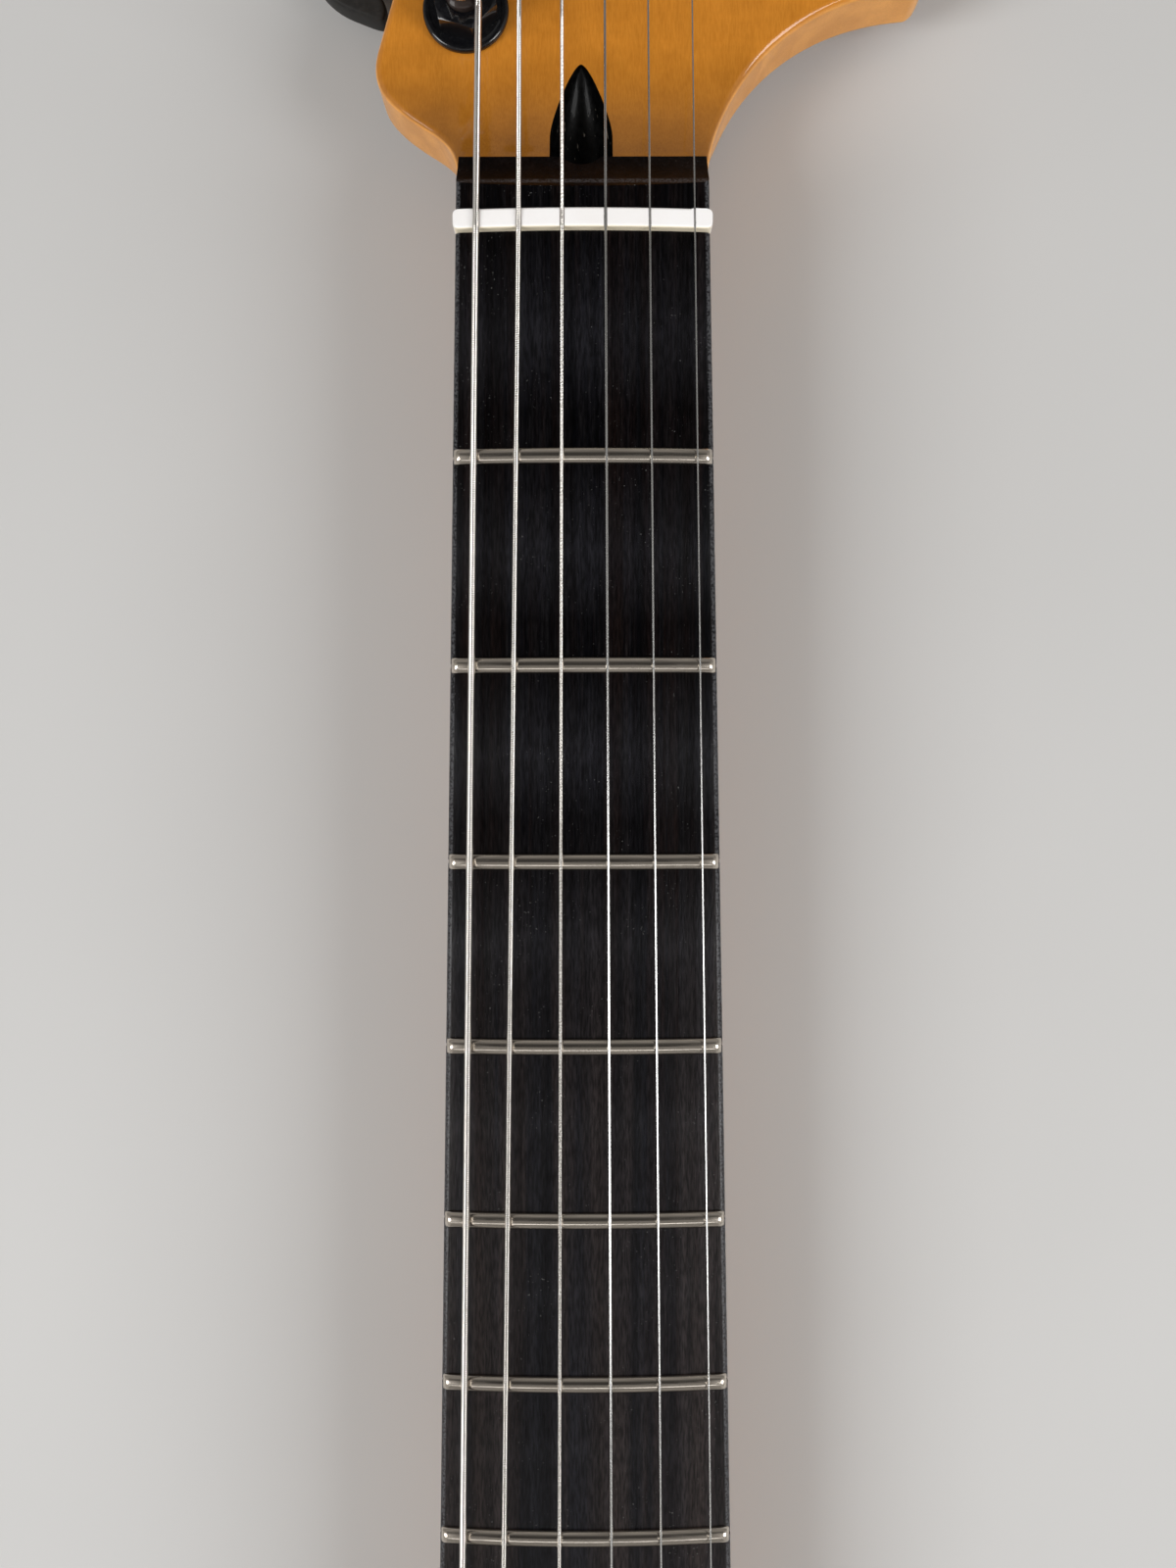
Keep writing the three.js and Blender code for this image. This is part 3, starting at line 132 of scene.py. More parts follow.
# Nut and frets
NUT_THICKNESS = 3.3
NUT_WIDTH = 42.5
NUT_HEIGHT = 2.1
NUT_DROP = 0.5
NUT_FLOOR = 22.25
NUT_SET_BACK = 0.45
NUT_CLEARANCE = 0.05
NUT_END_ROUND = 0.9
NUT_EDGE_ROUND = 0.45
SLOT_CLEARANCE = 0.06
FRET_WIDTH = 2.8
FRET_HEIGHT = 1.2
FRET_DOME = 1.1
FRET_INSET = 0.25
FRET_SEAT = 0.03
TANG_THICKNESS = 0.54
TANG_DEPTH = 1.9
TANG_FLOOR = 1.7
SAW_WIDTH = 0.66
SAW_DEPTH = 2.0

# Strings, low E to high E
STRING_DIAMETERS = (1.168, 0.914, 0.66, 0.432, 0.33, 0.254)
WRAP_PITCHES = (0.36, 0.28, 0.22)
WRAP_SIDES = (12, 10, 8)
NUT_PLACES = (-17.39, -10.43, -3.34, 3.74, 10.96, 18.32)
BOARD_END_PLACES = (-23.4, -16.8, -5.3, 5.0, 14.3, 23.6)
SLOT_HEIGHT = 1.65
ACTION_LOW = 1.8
ACTION_HIGH = 1.4
STRING_TAIL = 12.0
STRING_GAP = 0.3
BALL_RADIUS = 1.95
BALL_LENGTH = 3.2
CORNER_EASE = 1.5

# Tuning machines
MACHINES = 6
POST_LINE = math.radians(16.0)
FIRST_POST = (-19.8, 460.8)
POST_PITCH = 25.6
EDGE_TO_POST = 12.8
WORM_OFFSET = 9.9
GEAR_PLANE_Z = -5.9
WAIST_RADIUS = 1.95
POST_HOLE_RADIUS = 5.0
WINDING_CLEARANCE = 0.1
WINDING_START_Z = 22.6
WINDING_TURNS = 2.25
WINDING_GAP = 0.12
FIRST_TURN = 0.75
FIRST_LIFT = 2.4
TREE_PLACES = (70.0, 60.0)
TREE_STRINGS = ((2, 3), (4, 5))
TREE_STRING_Z = (21.6, 20.0)


# Working in the modelling window's way: select, edit, apply

def clear_selection():
    if bpy.context.mode != "OBJECT":
        bpy.ops.object.mode_set(mode="OBJECT")
    bpy.ops.object.select_all(action="DESELECT")


def take(piece):
    clear_selection()
    piece.select_set(True)
    bpy.context.view_layer.objects.active = piece


def named(name):
    piece = bpy.context.active_object
    piece.name = name
    piece.data.name = name
    bpy.ops.object.transform_apply(location=True, rotation=True, scale=True)
    return piece


def enter_edit(piece, mode):
    take(piece)
    bpy.context.tool_settings.mesh_select_mode = tuple(mode == m for m in ("VERT", "EDGE", "FACE"))
    bpy.ops.object.mode_set(mode="EDIT")


def enter_whole(piece, mode):
    enter_edit(piece, mode)
    bpy.ops.mesh.select_all(action="SELECT")


def leave_edit():
    bpy.ops.object.mode_set(mode="OBJECT")


def pick(piece, mode, rule):
    """Enters edit mode with the edges or faces selected whose points meet the rule."""
    mesh = piece.data
    for group in (mesh.vertices, mesh.edges, mesh.polygons):
        for item in group:
            item.select = False
    items = mesh.edges if mode == "EDGE" else mesh.polygons
    for item in items:
        points = [mesh.vertices[i].co / MM for i in item.vertices]
        if rule(points):
            item.select = True
            for i in item.vertices:
                mesh.vertices[i].select = True
    enter_edit(piece, mode)


def tidy(piece, distance=0.0005):
    enter_whole(piece, "VERT")
    bpy.ops.mesh.remove_doubles(threshold=distance * MM)
    bpy.ops.mesh.normals_make_consistent(inside=False)
    leave_edit()


def bevel(piece, width, segments, rule):
    pick(piece, "EDGE", rule)
    bpy.ops.mesh.bevel(offset=width * MM, offset_type="OFFSET", segments=segments, profile=0.5,
                       affect="EDGES", clamp_overlap=False)
    leave_edit()


def slice_across(piece, axis, places, rule=None):
    """Cuts edge loops through the piece at places along an axis."""
    normal = [0.0, 0.0, 0.0]
    normal[axis] = 1.0
    for place in places:
        point = [0.0, 0.0, 0.0]
        point[axis] = place * MM
        if rule:
            pick(piece, "FACE", rule)
        else:
            enter_whole(piece, "FACE")
        bpy.ops.mesh.bisect(plane_co=point, plane_no=normal)
        leave_edit()


def move_points(piece, rule):
    for vertex in piece.data.vertices:
        vertex.co = Vector(rule(*(vertex.co / MM))) * MM
    piece.data.update()


def modify(piece, kind, **settings):
    take(piece)
    modifier = piece.modifiers.new(kind, kind)
    for key, value in settings.items():
        setattr(modifier, key, value)
    bpy.ops.object.modifier_apply(modifier=modifier.name)


def cut(piece, *cutters, operation="DIFFERENCE"):
    for cutter in cutters:
        modify(piece, "BOOLEAN", operation=operation, object=cutter, solver="EXACT",
               material_mode="TRANSFER")
        bpy.data.objects.remove(cutter)


def join(name, *parts):
    take(parts[0])
    for part in parts:
        part.select_set(True)
    if len(parts) > 1:
        bpy.ops.object.join()
    return named(name)


def linked(name, data):
    made = bpy.data.objects.new(name, data)
    bpy.context.scene.collection.objects.link(made)
    return made


def mesh_piece(name, points, edges, faces):
    mesh = bpy.data.meshes.new(name)
    mesh.from_pydata([Vector(point) * MM for point in points], edges, faces)
    return linked(name, mesh)


def shift(x, y, z):
    return Matrix.Translation(Vector((x, y, z)) * MM)


def block(name, low, high):
    size = [(b - a) * MM for a, b in zip(low, high)]
    middle = [(a + b) / 2 * MM for a, b in zip(low, high)]
    clear_selection()
    bpy.ops.mesh.primitive_cube_add(size=1, location=middle, scale=size)
    return named(name)


def rod(name, radius, start, end, sides=48):
    """A cylinder between two points."""
    start = Vector(start)
    end = Vector(end)
    turn = Vector((0, 0, 1)).rotation_difference(end - start).to_euler()
    clear_selection()
    bpy.ops.mesh.primitive_cylinder_add(vertices=sides, radius=radius * MM,
                                        depth=(end - start).length * MM,
                                        location=(start + end) / 2 * MM, rotation=turn)
    return named(name)


def plate(name, outline, low, high):
    """A slab with the given outline, between two heights."""
    clear_selection()
    bpy.ops.mesh.primitive_circle_add(vertices=len(outline), radius=MM, fill_type="NGON")
    piece = named(name)
    for vertex, (x, y) in zip(piece.data.vertices, outline):
        vertex.co = Vector((x, y, low)) * MM
    enter_whole(piece, "FACE")
    bpy.ops.mesh.extrude_region_move(TRANSFORM_OT_translate={"value": (0, 0, (high - low) * MM)})
    leave_edit()
    tidy(piece)
    return piece


def drill(piece, radius, place, low, high, sides=48):
    x, y = place
    cut(piece, rod("drill", radius, (x, y, low), (x, y, high), sides))


def turned(name, profile, sides=48):
    """A form spun about Z from [radius, z] points that start and end on the axis."""
    edges = [(i, i + 1) for i in range(len(profile) - 1)]
    piece = mesh_piece(name, [(r, 0, z) for r, z in profile], edges, [])
    enter_whole(piece, "VERT")
    bpy.ops.mesh.spin(steps=sides, angle=2 * math.pi, center=(0, 0, 0), axis=(0, 0, 1))
    leave_edit()
    tidy(piece, 0.002)
    return piece


def skin(name, rings):
    """A closed skin over rings of points, with its two ends filled."""
    count = len(rings[0])
    faces = []
    for r in range(len(rings) - 1):
        for k in range(count):
            a = r * count + k
            b = r * count + (k + 1) % count
            faces.append((a, b, b + count, a + count))
    faces.append(tuple(range(count))[::-1])
    faces.append(tuple((len(rings) - 1) * count + k for k in range(count)))
    return mesh_piece(name, [point for ring in rings for point in ring], [], faces)


def tube(name, path, radius, sides):
    """A round skin along a path; radius(run, turn) gives its radius."""
    tangents = []
    for i in range(len(path)):
        tangents.append((path[min(i + 1, len(path) - 1)] - path[max(i - 1, 0)]).normalized())
    side = Vector((0, 0, 1)).cross(tangents[0]).normalized()
    rings = []
    run = 0.0
    for i, point in enumerate(path):
        run += (point - path[i - 1]).length if i else 0.0
        side = (side - tangents[i] * side.dot(tangents[i])).normalized()
        up = tangents[i].cross(side)
        ring = []
        for k in range(sides):
            turn = 2 * math.pi * k / sides
            reach = radius(run, turn)
            ring.append(point + side * (reach * math.cos(turn)) + up * (reach * math.sin(turn)))
        rings.append(ring)
    return skin(name, rings)


def smooth_shade(piece, angle=35, weighted=True):
    take(piece)
    bpy.ops.object.shade_smooth_by_angle(angle=math.radians(angle))
    if weighted:
        modify(piece, "WEIGHTED_NORMAL", mode="FACE_AREA", weight=60, keep_sharp=True)


def finished(piece, body, finish, nodes=(), angle=35, weighted=True):
    """Gives a piece its finish, its body and the CAD nodes that it stands for."""
    piece.data.materials.clear()
    piece.data.materials.append(finish)
    smooth_shade(piece, angle, weighted)
    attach(piece, body)
    if nodes:
        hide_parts(*nodes)


def placed_copy(name, source, matrix):
    piece = source.copy()
    piece.data = source.data.copy()
    piece.name = name
    piece.data.name = name
    bpy.context.scene.collection.objects.link(piece)
    piece.data.transform(matrix)
    piece.data.update()
    return piece


# Places on the neck

def along(d):
    return NUT_Y + d


def half_width(d):
    return (NUT_END_WIDTH - (BOARD_END_WIDTH - NUT_END_WIDTH) * d / BOARD_LENGTH) / 2


def crown(x):
    return CROWN_Z - BOARD_RADIUS + math.sqrt(BOARD_RADIUS ** 2 - x ** 2)


def fret_place(n):
    return -SCALE_LENGTH * (1 - 2 ** (-n / 12))


def smooth(t):
    s = min(max(t, 0.0), 1.0)
    return s * s * (3 - 2 * s)


def past_heel(d):
    return smooth((d + NECK_LENGTH - HEEL_BLOCK) / HEEL_SLOPE)


def fade(d, ends):
    """From 1 to 0 between two places."""
    return 1 - smooth((d - ends[0]) / (ends[1] - ends[0]))


def back_rise(d):
    first = fret_place(1)
    taper = (RISE_FIRST - RISE_TWELFTH) / (first - fret_place(12))
    return (RISE_FIRST + taper * (d - first)) * past_heel(d) * fade(d, RISE_FADE)


def carve_share(d):
    return past_heel(d) * fade(d, CARVE_FADE)


def face_height(d):
    if d <= BOARD_TOE:
        return NECK_DEPTH
    run = max(SWEEP_END - d, 0.0)
    return HEAD_THICKNESS + SWEEP_RADIUS - math.sqrt(SWEEP_RADIUS ** 2 - run ** 2)


def post_place(i):
    return (FIRST_POST[0] + i * POST_PITCH * math.sin(POST_LINE),
            FIRST_POST[1] + i * POST_PITCH * math.cos(POST_LINE))


def bass_edge(run):
    return (FIRST_POST[0] - EDGE_TO_POST * math.cos(POST_LINE) + run * math.sin(POST_LINE),
            FIRST_POST[1] + EDGE_TO_POST * math.sin(POST_LINE) + run * math.cos(POST_LINE))


def cubic(a, b, c, d, steps):
    """Points on a cubic from a to d, without a itself."""
    points = []
    for i in range(1, steps + 1):
        t = i / steps
        points.append(tuple(
            (1 - t) ** 3 * a[k] + 3 * (1 - t) ** 2 * t * b[k] + 3 * (1 - t) * t * t * c[k] + t ** 3 * d[k]
            for k in (0, 1)))
    return points


def bend(a, b, shares, steps):
    """Cubic whose handles are shares of the box between its ends."""
    w = b[0] - a[0]
    h = b[1] - a[1]
    return cubic(a, (a[0] + shares[0] * w, a[1] + shares[1] * h),
                 (a[0] + shares[2] * w, a[1] + shares[3] * h), b, steps)


def arc(cx, cy, radius, start, end, steps):
    """Points on an arc between two angles in degrees."""
    turns = [math.radians(start + (end - start) * k / steps) for k in range(steps + 1)]
    return [(cx + radius * math.cos(t), cy + radius * math.sin(t)) for t in turns]


def on_head(x_share, y_share):
    return x_share * HORN_REACH, along(y_share * HEAD_LENGTH)


def neck_outline():
    heel = along(-NECK_LENGTH)
    heel_half = half_width(-NECK_LENGTH)
    side = (half_width(SIDE_END), along(SIDE_END))
    horn = (HORN_FRONT[0], along(HORN_FRONT[1]))
    points = arc(heel_half - HEEL_CORNER, heel + HEEL_CORNER, HEEL_CORNER, -90, 0, 6)
    points.append(side)
    points += bend(side, horn, HORN_SWEEP_SHARES, 36)
    for ax, ay, bx, by, x, y in HORN_EDGE_SHARES:
        points += cubic(points[-1], on_head(ax, ay), on_head(bx, by), on_head(x, y), 18)
    ax, ay, bx, by = TIP_HANDLE_SHARES
    tip = bass_edge((MACHINES - 1) * POST_PITCH + TIP_TO_POST)
    points += cubic(points[-1], on_head(ax, ay), on_head(bx, by), tip, 24)
    shoulder = bass_edge(-SHOULDER_TO_POST)
    dip = (SHOULDER_BEND[0], along(SHOULDER_BEND[1]))
    points.append(shoulder)
    points += bend(dip, shoulder, SHOULDER_CAP_SHARES, 16)[-2::-1] + [dip]
    points += bend((-side[0], side[1]), dip, SHOULDER_ROOT_SHARES, 16)[-2::-1] + [(-side[0], side[1])]
    points += arc(HEEL_CORNER - heel_half, heel + HEEL_CORNER, HEEL_CORNER, 180, 270, 6)
    low, high = CAD_BOX
    return [(min(max(x, low[0] / MM), high[0] / MM), min(y, high[1] / MM)) for x, y in points]


# Finishes

WHITE = (1.0, 1.0, 1.0)


def fill(socket, value):
    """Gives an input of a node the output of another, or a plain value."""
    if isinstance(value, bpy.types.NodeSocket):
        socket.id_data.links.new(value, socket)
    else:
        socket.default_value = value


def feed(node, name, value):
    fill(node.inputs[name], value)


def blank_finish(name, color, roughness, metallic=0.0):
    finish = bpy.data.materials.new(name)
    finish.use_nodes = True
    shader = finish.node_tree.nodes["Principled BSDF"]
    feed(shader, "Base Color", (*color, 1))
    feed(shader, "Roughness", roughness)
    feed(shader, "Metallic", metallic)
    return finish, finish.node_tree, shader


def add(tree, kind, **values):
    """A node with its inputs or its own settings filled in."""
    made = tree.nodes.new("ShaderNode" + kind)
    for key, value in values.items():
        if key in made.inputs:
            feed(made, key, value)
        else:
            setattr(made, key, value)
    return made


def object_grain(tree, y_scale, scale, detail=4.0, rough=0.55, distortion=0.0, x_scale=1.0):
    """Noise over the piece's own coordinates; a small y_scale draws it out along the neck."""
    place = add(tree, "TexCoord").outputs["Object"]
    drawn = add(tree, "Mapping", Vector=place, Scale=(x_scale, y_scale, 1.0)).outputs["Vector"]
    noise = add(tree, "TexNoise", Vector=drawn, Scale=scale, Detail=detail, Roughness=rough,
                Distortion=distortion)
    return noise.outputs["Fac"]


def ramp(value, *stops):
    made = add(value.id_data, "ValToRGB", Fac=value)
    band = made.color_ramp
    while len(band.elements) < len(stops):
        band.elements.new(0.5)
    for element, (place, color) in zip(band.elements, stops):
        element.position = place
        element.color = (*color, 1)
    return made.outputs["Color"]


def mix(tree, share, a, b, blend="MIX"):
    made = add(tree, "Mix", data_type="RGBA", blend_type=blend)
    for value, socket in ((share, made.inputs[0]), (a, made.inputs[6]), (b, made.inputs[7])):
        fill(socket, (*value, 1) if isinstance(value, tuple) else value)
    return made.outputs[2]


def spread(value, low, high, out_low=0.0, out_high=1.0):
    made = add(value.id_data, "MapRange", Value=value)
    for key, number in (("From Min", low), ("From Max", high), ("To Min", out_low), ("To Max", out_high)):
        feed(made, key, number)
    return made.outputs["Result"]


def math_node(operation, *values):
    made = add(values[0].id_data, "Math", operation=operation)
    for value, socket in zip(values, made.inputs):
        fill(socket, value)
    return made.outputs[0]


def times(first, second):
    return math_node("MULTIPLY", first, second)


def tinted(color, tint):
    return mix(color.id_data, 1.0, color, tint, "MULTIPLY")


def place_parts(tree, output):
    """X, Y and Z of one output of the texture coordinates."""
    place = add(tree, "TexCoord").outputs[output]
    return add(tree, "SeparateXYZ", Vector=place).outputs


def painted(tree, name):
    return add(tree, "Attribute", attribute_name=name).outputs["Fac"]


def relief(shader, height, strength, distance):
    bump = add(height.id_data, "Bump", Height=height, Strength=strength, Distance=distance)
    feed(shader, "Normal", bump.outputs["Normal"])


def maple_finish():
    """Amber lacquer on the face, duller on the sides; the sides get a paler copy of the wood as painted
    light, and the face darkens towards the board's toe as painted shade.
    """
    finish, tree, shader = blank_finish("amber_maple", (0.48, 0.19, 0.03), 0.45)
    flecks = object_grain(tree, 0.13, 4300.0, 3.0)
    bands = object_grain(tree, 0.22, 240.0, 5.0, 0.65, 0.3)
    cloud = object_grain(tree, 0.7, 150.0, 4.0, 0.6)
    base = ramp(bands, (0.3, (0.54, 0.194, 0.018)), (0.7, (0.615, 0.231, 0.024)))
    fleck = ramp(flecks, (0.34, (0.48, 0.17, 0.015)), (0.64, (0.69, 0.278, 0.034)))
    wood = mix(tree, 0.35, base, fleck)
    tint = ramp(cloud, (0.32, (0.88, 0.865, 0.82)), (0.68, (1.02, 1.02, 1.03)))
    figure = object_grain(tree, 3.2, 85.0, 3.0, 0.5, 0.6)
    figured = ramp(figure, (0.35, (0.92, 0.91, 0.9)), (0.65, WHITE))
    wood = tinted(wood, tinted(tint, figured))
    # Painted shade: faces that look up grow darker towards the board's toe, for the shade that falls on
    # the sweep
    spot = place_parts(tree, "Object")
    toe_shade_share = spread(spot["Y"], along(TOE_PAINTED_SHADE_END) * MM, along(BOARD_TOE) * MM, 1.0, 0.5)
    painted_toe_shade = add(tree, "CombineColor", Red=toe_shade_share, Green=toe_shade_share, Blue=toe_shade_share)
    facing = place_parts(tree, "Normal")
    side = spread(math_node("ABSOLUTE", facing["Z"]), 0.72, 0.4)
    up = spread(facing["Z"], 0.3, 0.6)
    wood = tinted(wood, mix(tree, up, WHITE, painted_toe_shade.outputs[0]))
    # Painted light: faces that turn sideways get this paler copy of the wood for the light the walls
    # catch, broken by random darker patches of painted shade
    pale_bands = ramp(bands, (0.3, (0.74, 0.335, 0.078)), (0.7, (0.82, 0.385, 0.092)))
    pale_flecks = ramp(flecks, (0.34, (0.69, 0.305, 0.068)), (0.64, (0.86, 0.41, 0.1)))
    shaded = ramp(figure, (0.4, (0.86, 0.83, 0.8)), (0.62, WHITE))
    pale = tinted(mix(tree, 0.5, pale_bands, pale_flecks), shaded)
    wood = mix(tree, side, wood, pale)
    feed(shader, "Base Color", wood)
    feed(shader, "Specular IOR Level", 0.05)
    feed(shader, "Coat Weight", spread(side, 0.0, 1.0, 0.8, 0.45))
    feed(shader, "Coat Roughness", 0.07)
    relief(shader, flecks, 0.05, 0.0001)
    return finish


def board_finish():
    """Near black wood, lightened by a painted sheen in the fret spaces and towards the heel, with brown
    streaks towards the heel and a lighter speckled line on the rolled edges, from values painted on the
    board.
    """
    finish, tree, shader = blank_finish("dark_board", (0.004, 0.004, 0.005), 0.5)
    streaks = object_grain(tree, 0.012, 420.0, 5.0, 0.62, 0.3)
    fine = object_grain(tree, 0.035, 2400.0, 3.0, 0.6)
    pores = object_grain(tree, 0.14, 3200.0, 2.0, 0.5)
    specks = object_grain(tree, 1.0, 2600.0, 1.0)
    patches = object_grain(tree, 1.0, 130.0, 2.0)
    base = ramp(streaks, (0.45, (0.0012, 0.0012, 0.0017)), (0.72, (0.0065, 0.0035, 0.0028)))
    wood = mix(tree, spread(fine, 0.45, 0.7, 0.0, 0.3), base, (0.012, 0.011, 0.0115))
    # Painted sheen: a lighter bluish tone stands for the board's reflection in the middle of the fret
    # spaces and towards the heel; the specular level rises there too, for wood worn shinier
    sheen = painted(tree, "sheen")
    satin = times(sheen, spread(streaks, 0.3, 0.6, 0.9, 0.3))
    wood = mix(tree, satin, wood, (0.0112, 0.0114, 0.0145))
    # Brown grain streaks, mixed in only towards the heel under the painted sheen
    bands = object_grain(tree, 0.02, 190.0, 3.0, 0.55, 0.3)
    warm = times(painted(tree, "warm"), spread(bands, 0.42, 0.62, 0.0, 0.8))
    wood = mix(tree, warm, wood, (0.019, 0.0148, 0.0138))
    lines = object_grain(tree, 0.01, 620.0, 3.0, 0.6, 0.15)
    streaked = ramp(lines, (0.36, (0.6, 0.6, 0.61)), (0.62, (1.32, 1.27, 1.25)))
    pored = ramp(pores, (0.36, (0.5, 0.5, 0.51)), (0.64, (1.45, 1.45, 1.48)))
    wood = tinted(tinted(wood, streaked), pored)
    # A lighter speckled line along the rolled edges
    edge = times(painted(tree, "worn"), spread(specks, 0.4, 0.58, 0.1, 1.0))
    wood = mix(tree, edge, wood, (0.07, 0.07, 0.075))
    dusty = spread(patches, 0.5, 0.62)
    dust = times(spread(specks, 0.72, 0.76, 0.0, 0.5), dusty)
    wood = mix(tree, dust, wood, (0.16, 0.16, 0.155))
    feed(shader, "Base Color", wood)
    feed(shader, "Roughness", spread(fine, 0.3, 0.7, 0.27, 0.38))
    feed(shader, "Specular IOR Level", spread(sheen, 0.0, 1.0, 0.06, 0.2))
    relief(shader, pores, 0.35, 0.00008)
    return finish


def bone_finish():
    finish, tree, shader = blank_finish("polished_bone", (0.87, 0.83, 0.82), 0.28)
    cloud = object_grain(tree, 1.0, 160.0, 3.0)
    face = ramp(cloud, (0.3, (0.94, 0.915, 0.9)), (0.7, (0.975, 0.96, 0.955)))
    # The faces turned to the front get a yellow-tan tone: partly lacquer built up on the lip, partly
    # painted shade and reflection of the board
    front = spread(place_parts(tree, "Normal")["Y"], -0.35, -0.85)
    feed(shader, "Base Color", mix(tree, front, face, (0.96, 0.86, 0.66)))
    return finish


def metal_finish(name, color, roughness, x_scale=1.0, scale=1800.0, wear=0.12, tarnish=0.72):
    finish, tree, shader = blank_finish(name, color, roughness, 1.0)
    marks = object_grain(tree, 1.0, scale, 3.0, x_scale=x_scale)
    dark = tuple(tarnish * c for c in color)
    feed(shader, "Base Color", ramp(marks, (0.3, dark), (0.6, color)))
    feed(shader, "Roughness", spread(marks, 0.3, 0.7, roughness + wear, roughness - wear / 2))
    relief(shader, marks, wear / 2, 0.00004)
    return finish


def coated_finish(name, color, roughness, coat, dust=0.0, flecks=0.0):
    finish, tree, shader = blank_finish(name, color, roughness)
    marks = object_grain(tree, 1.0, 900.0)
    light = tuple(min(1.0, c * 1.3 + 0.004) for c in color)
    base = ramp(marks, (0.45, color), (0.8, light))
    if flecks:
        spots = object_grain(tree, 0.4, 1500.0, 1.0)
        base = mix(tree, spread(spots, 0.72, 0.8, 0.0, flecks), base, (0.2, 0.18, 0.15))
    feed(shader, "Base Color", base)
    feed(shader, "Roughness", spread(marks, 0.3, 0.75, roughness - 0.04, roughness + 0.1))
    feed(shader, "Specular IOR Level", 0.06)
    feed(shader, "Coat Weight", coat)
    feed(shader, "Coat Roughness", 0.05)
    relief(shader, marks, 0.006 + dust, 0.0001)
    return finish


MAPLE = maple_finish()
BOARD = board_finish()
BONE = bone_finish()
NICKEL = metal_finish("fret_nickel", (0.62, 0.56, 0.49), 0.14, 0.05, 2600.0)
WOUND = metal_finish("wound_wire", (0.72, 0.69, 0.65), 0.24, wear=0.01, tarnish=0.94)
PLAIN = metal_finish("plain_wire", (0.56, 0.56, 0.55), 0.2, wear=0.01, tarnish=0.94)
BRASS = metal_finish("rod_brass", (0.60, 0.44, 0.20), 0.35)
STEEL = metal_finish("rod_steel", (0.45, 0.45, 0.46), 0.4)
POST_BROWN = coated_finish("dark_plating", (0.028, 0.02, 0.017), 0.3, 0.25)
GLOSS_BLACK = coated_finish("gloss_black", (0.0035, 0.0035, 0.0045), 0.3, 0.75)
CAVITY_BLACK = coated_finish("cavity_paint", (0.0012, 0.0012, 0.0012), 0.3, 0.05, 0.4, 1.0)
SATIN_BLACK = coated_finish("satin_black", (0.028, 0.0275, 0.0265), 0.42, 0.0, 0.1)


# Camera, lights and floor

CAMERA_PLACE = (0.00095, 0.33407, 0.28911)
CAMERA_TURN = (-0.0174, 0.0009, -0.0019)
CAMERA_LENS = 36.781
AIM = (0.0, 0.33, 0.0)


def set_camera():
    """The camera that was fitted to the nut, the frets and the board in the photograph."""
    data = bpy.data.cameras.new("camera")
    camera = linked("camera", data)
    camera.location = CAMERA_PLACE
    camera.rotation_euler = CAMERA_TURN
    data.sensor_fit = "VERTICAL"
    data.sensor_height = 36.0
    data.lens = CAMERA_LENS
    data.clip_start = 0.01
    data.clip_end = 50.0
    bpy.context.scene.camera = camera
    bpy.context.scene.view_settings.view_transform = "Standard"


def soft_box(name, place, size, power):
    data = bpy.data.lights.new(name, "AREA")
    data.shape = "RECTANGLE"
    data.size, data.size_y = size
    data.energy = power
    lamp = linked(name, data)
    lamp.location = place
    lamp.rotation_euler = (Vector(AIM) - Vector(place)).to_track_quat("-Z", "Y").to_euler()


def set_lights():
    """A soft box on either side, a weak one past the heel, and a dim room with lighter walls."""
    for side in (-1, 1):
        soft_box(f"side_light_{side}", (side * 0.92, 0.05, 0.88), (0.46, 0.74), 9.9)
    soft_box("heel_light", (0.0, -0.55, 1.15), (1.1, 0.16), 0.9)
    world = bpy.data.worlds.new("room")
    world.use_nodes = True
    tree = world.node_tree
    sky = tree.nodes["Background"]
    way = place_parts(tree, "Generated")
    walls = times(spread(math_node("ABSOLUTE", way["X"]), 0.22, 0.42, 0.0, 0.5),
                  spread(way["Y"], 0.34, 0.2, 0.2, 1.0))
    window = spread(way["Y"], 0.0, -0.1, 0.0, 0.25)
    room = spread(way["Z"], 0.92, 0.6, 0.05, 0.32)
    brighter = math_node("MAXIMUM", walls, window)
    feed(sky, "Strength", math_node("MAXIMUM", brighter, room))
    feed(sky, "Color", (1.0, 0.97, 0.93, 1))
    bpy.context.scene.world = world


FLOOR_POINT = (27.88, -39.08, -0.02)
FLOOR_NORMAL = (-0.06152, 0.01764, 0.99795)


def lay_floor():
    """The neck lies on the treble corner of its heel and on the cases of its machines."""
    normal = Vector(FLOOR_NORMAL).normalized()
    clear_selection()
    bpy.ops.mesh.primitive_grid_add(x_subdivisions=8, y_subdivisions=8, size=12.0)
    floor = named("floor")
    turn = Vector((0, 0, 1)).rotation_difference(normal).to_matrix().to_4x4()
    floor.data.transform(shift(*FLOOR_POINT) @ turn)
    finish, tree, shader = blank_finish("pale_floor", (0.545, 0.542, 0.535), 0.6)
    cloud = object_grain(tree, 1.0, 5.0, 3.0)
    grey = ramp(cloud, (0.35, (0.53, 0.527, 0.52)), (0.65, (0.56, 0.557, 0.55)))
    feed(shader, "Base Color", grey)
    floor.data.materials.append(finish)


# Strings

def string_radius(i):
    return STRING_DIAMETERS[i] / 2


def over_board(i, d):
    slope = (BOARD_END_PLACES[i] - NUT_PLACES[i]) / -BOARD_LENGTH
    x = NUT_PLACES[i] + slope * d
    twelfth = fret_place(12)
    action = ACTION_LOW + (ACTION_HIGH - ACTION_LOW) * i / (MACHINES - 1)
    at_nut = crown(NUT_PLACES[i]) + SLOT_HEIGHT + string_radius(i)
    at_twelfth = crown(NUT_PLACES[i] + slope * twelfth) + FRET_HEIGHT + action + string_radius(i)
    return Vector((x, along(d), at_nut + (at_twelfth - at_nut) * d / twelfth))


def winding_radius(i):
    return WAIST_RADIUS + WINDING_CLEARANCE + string_radius(i)


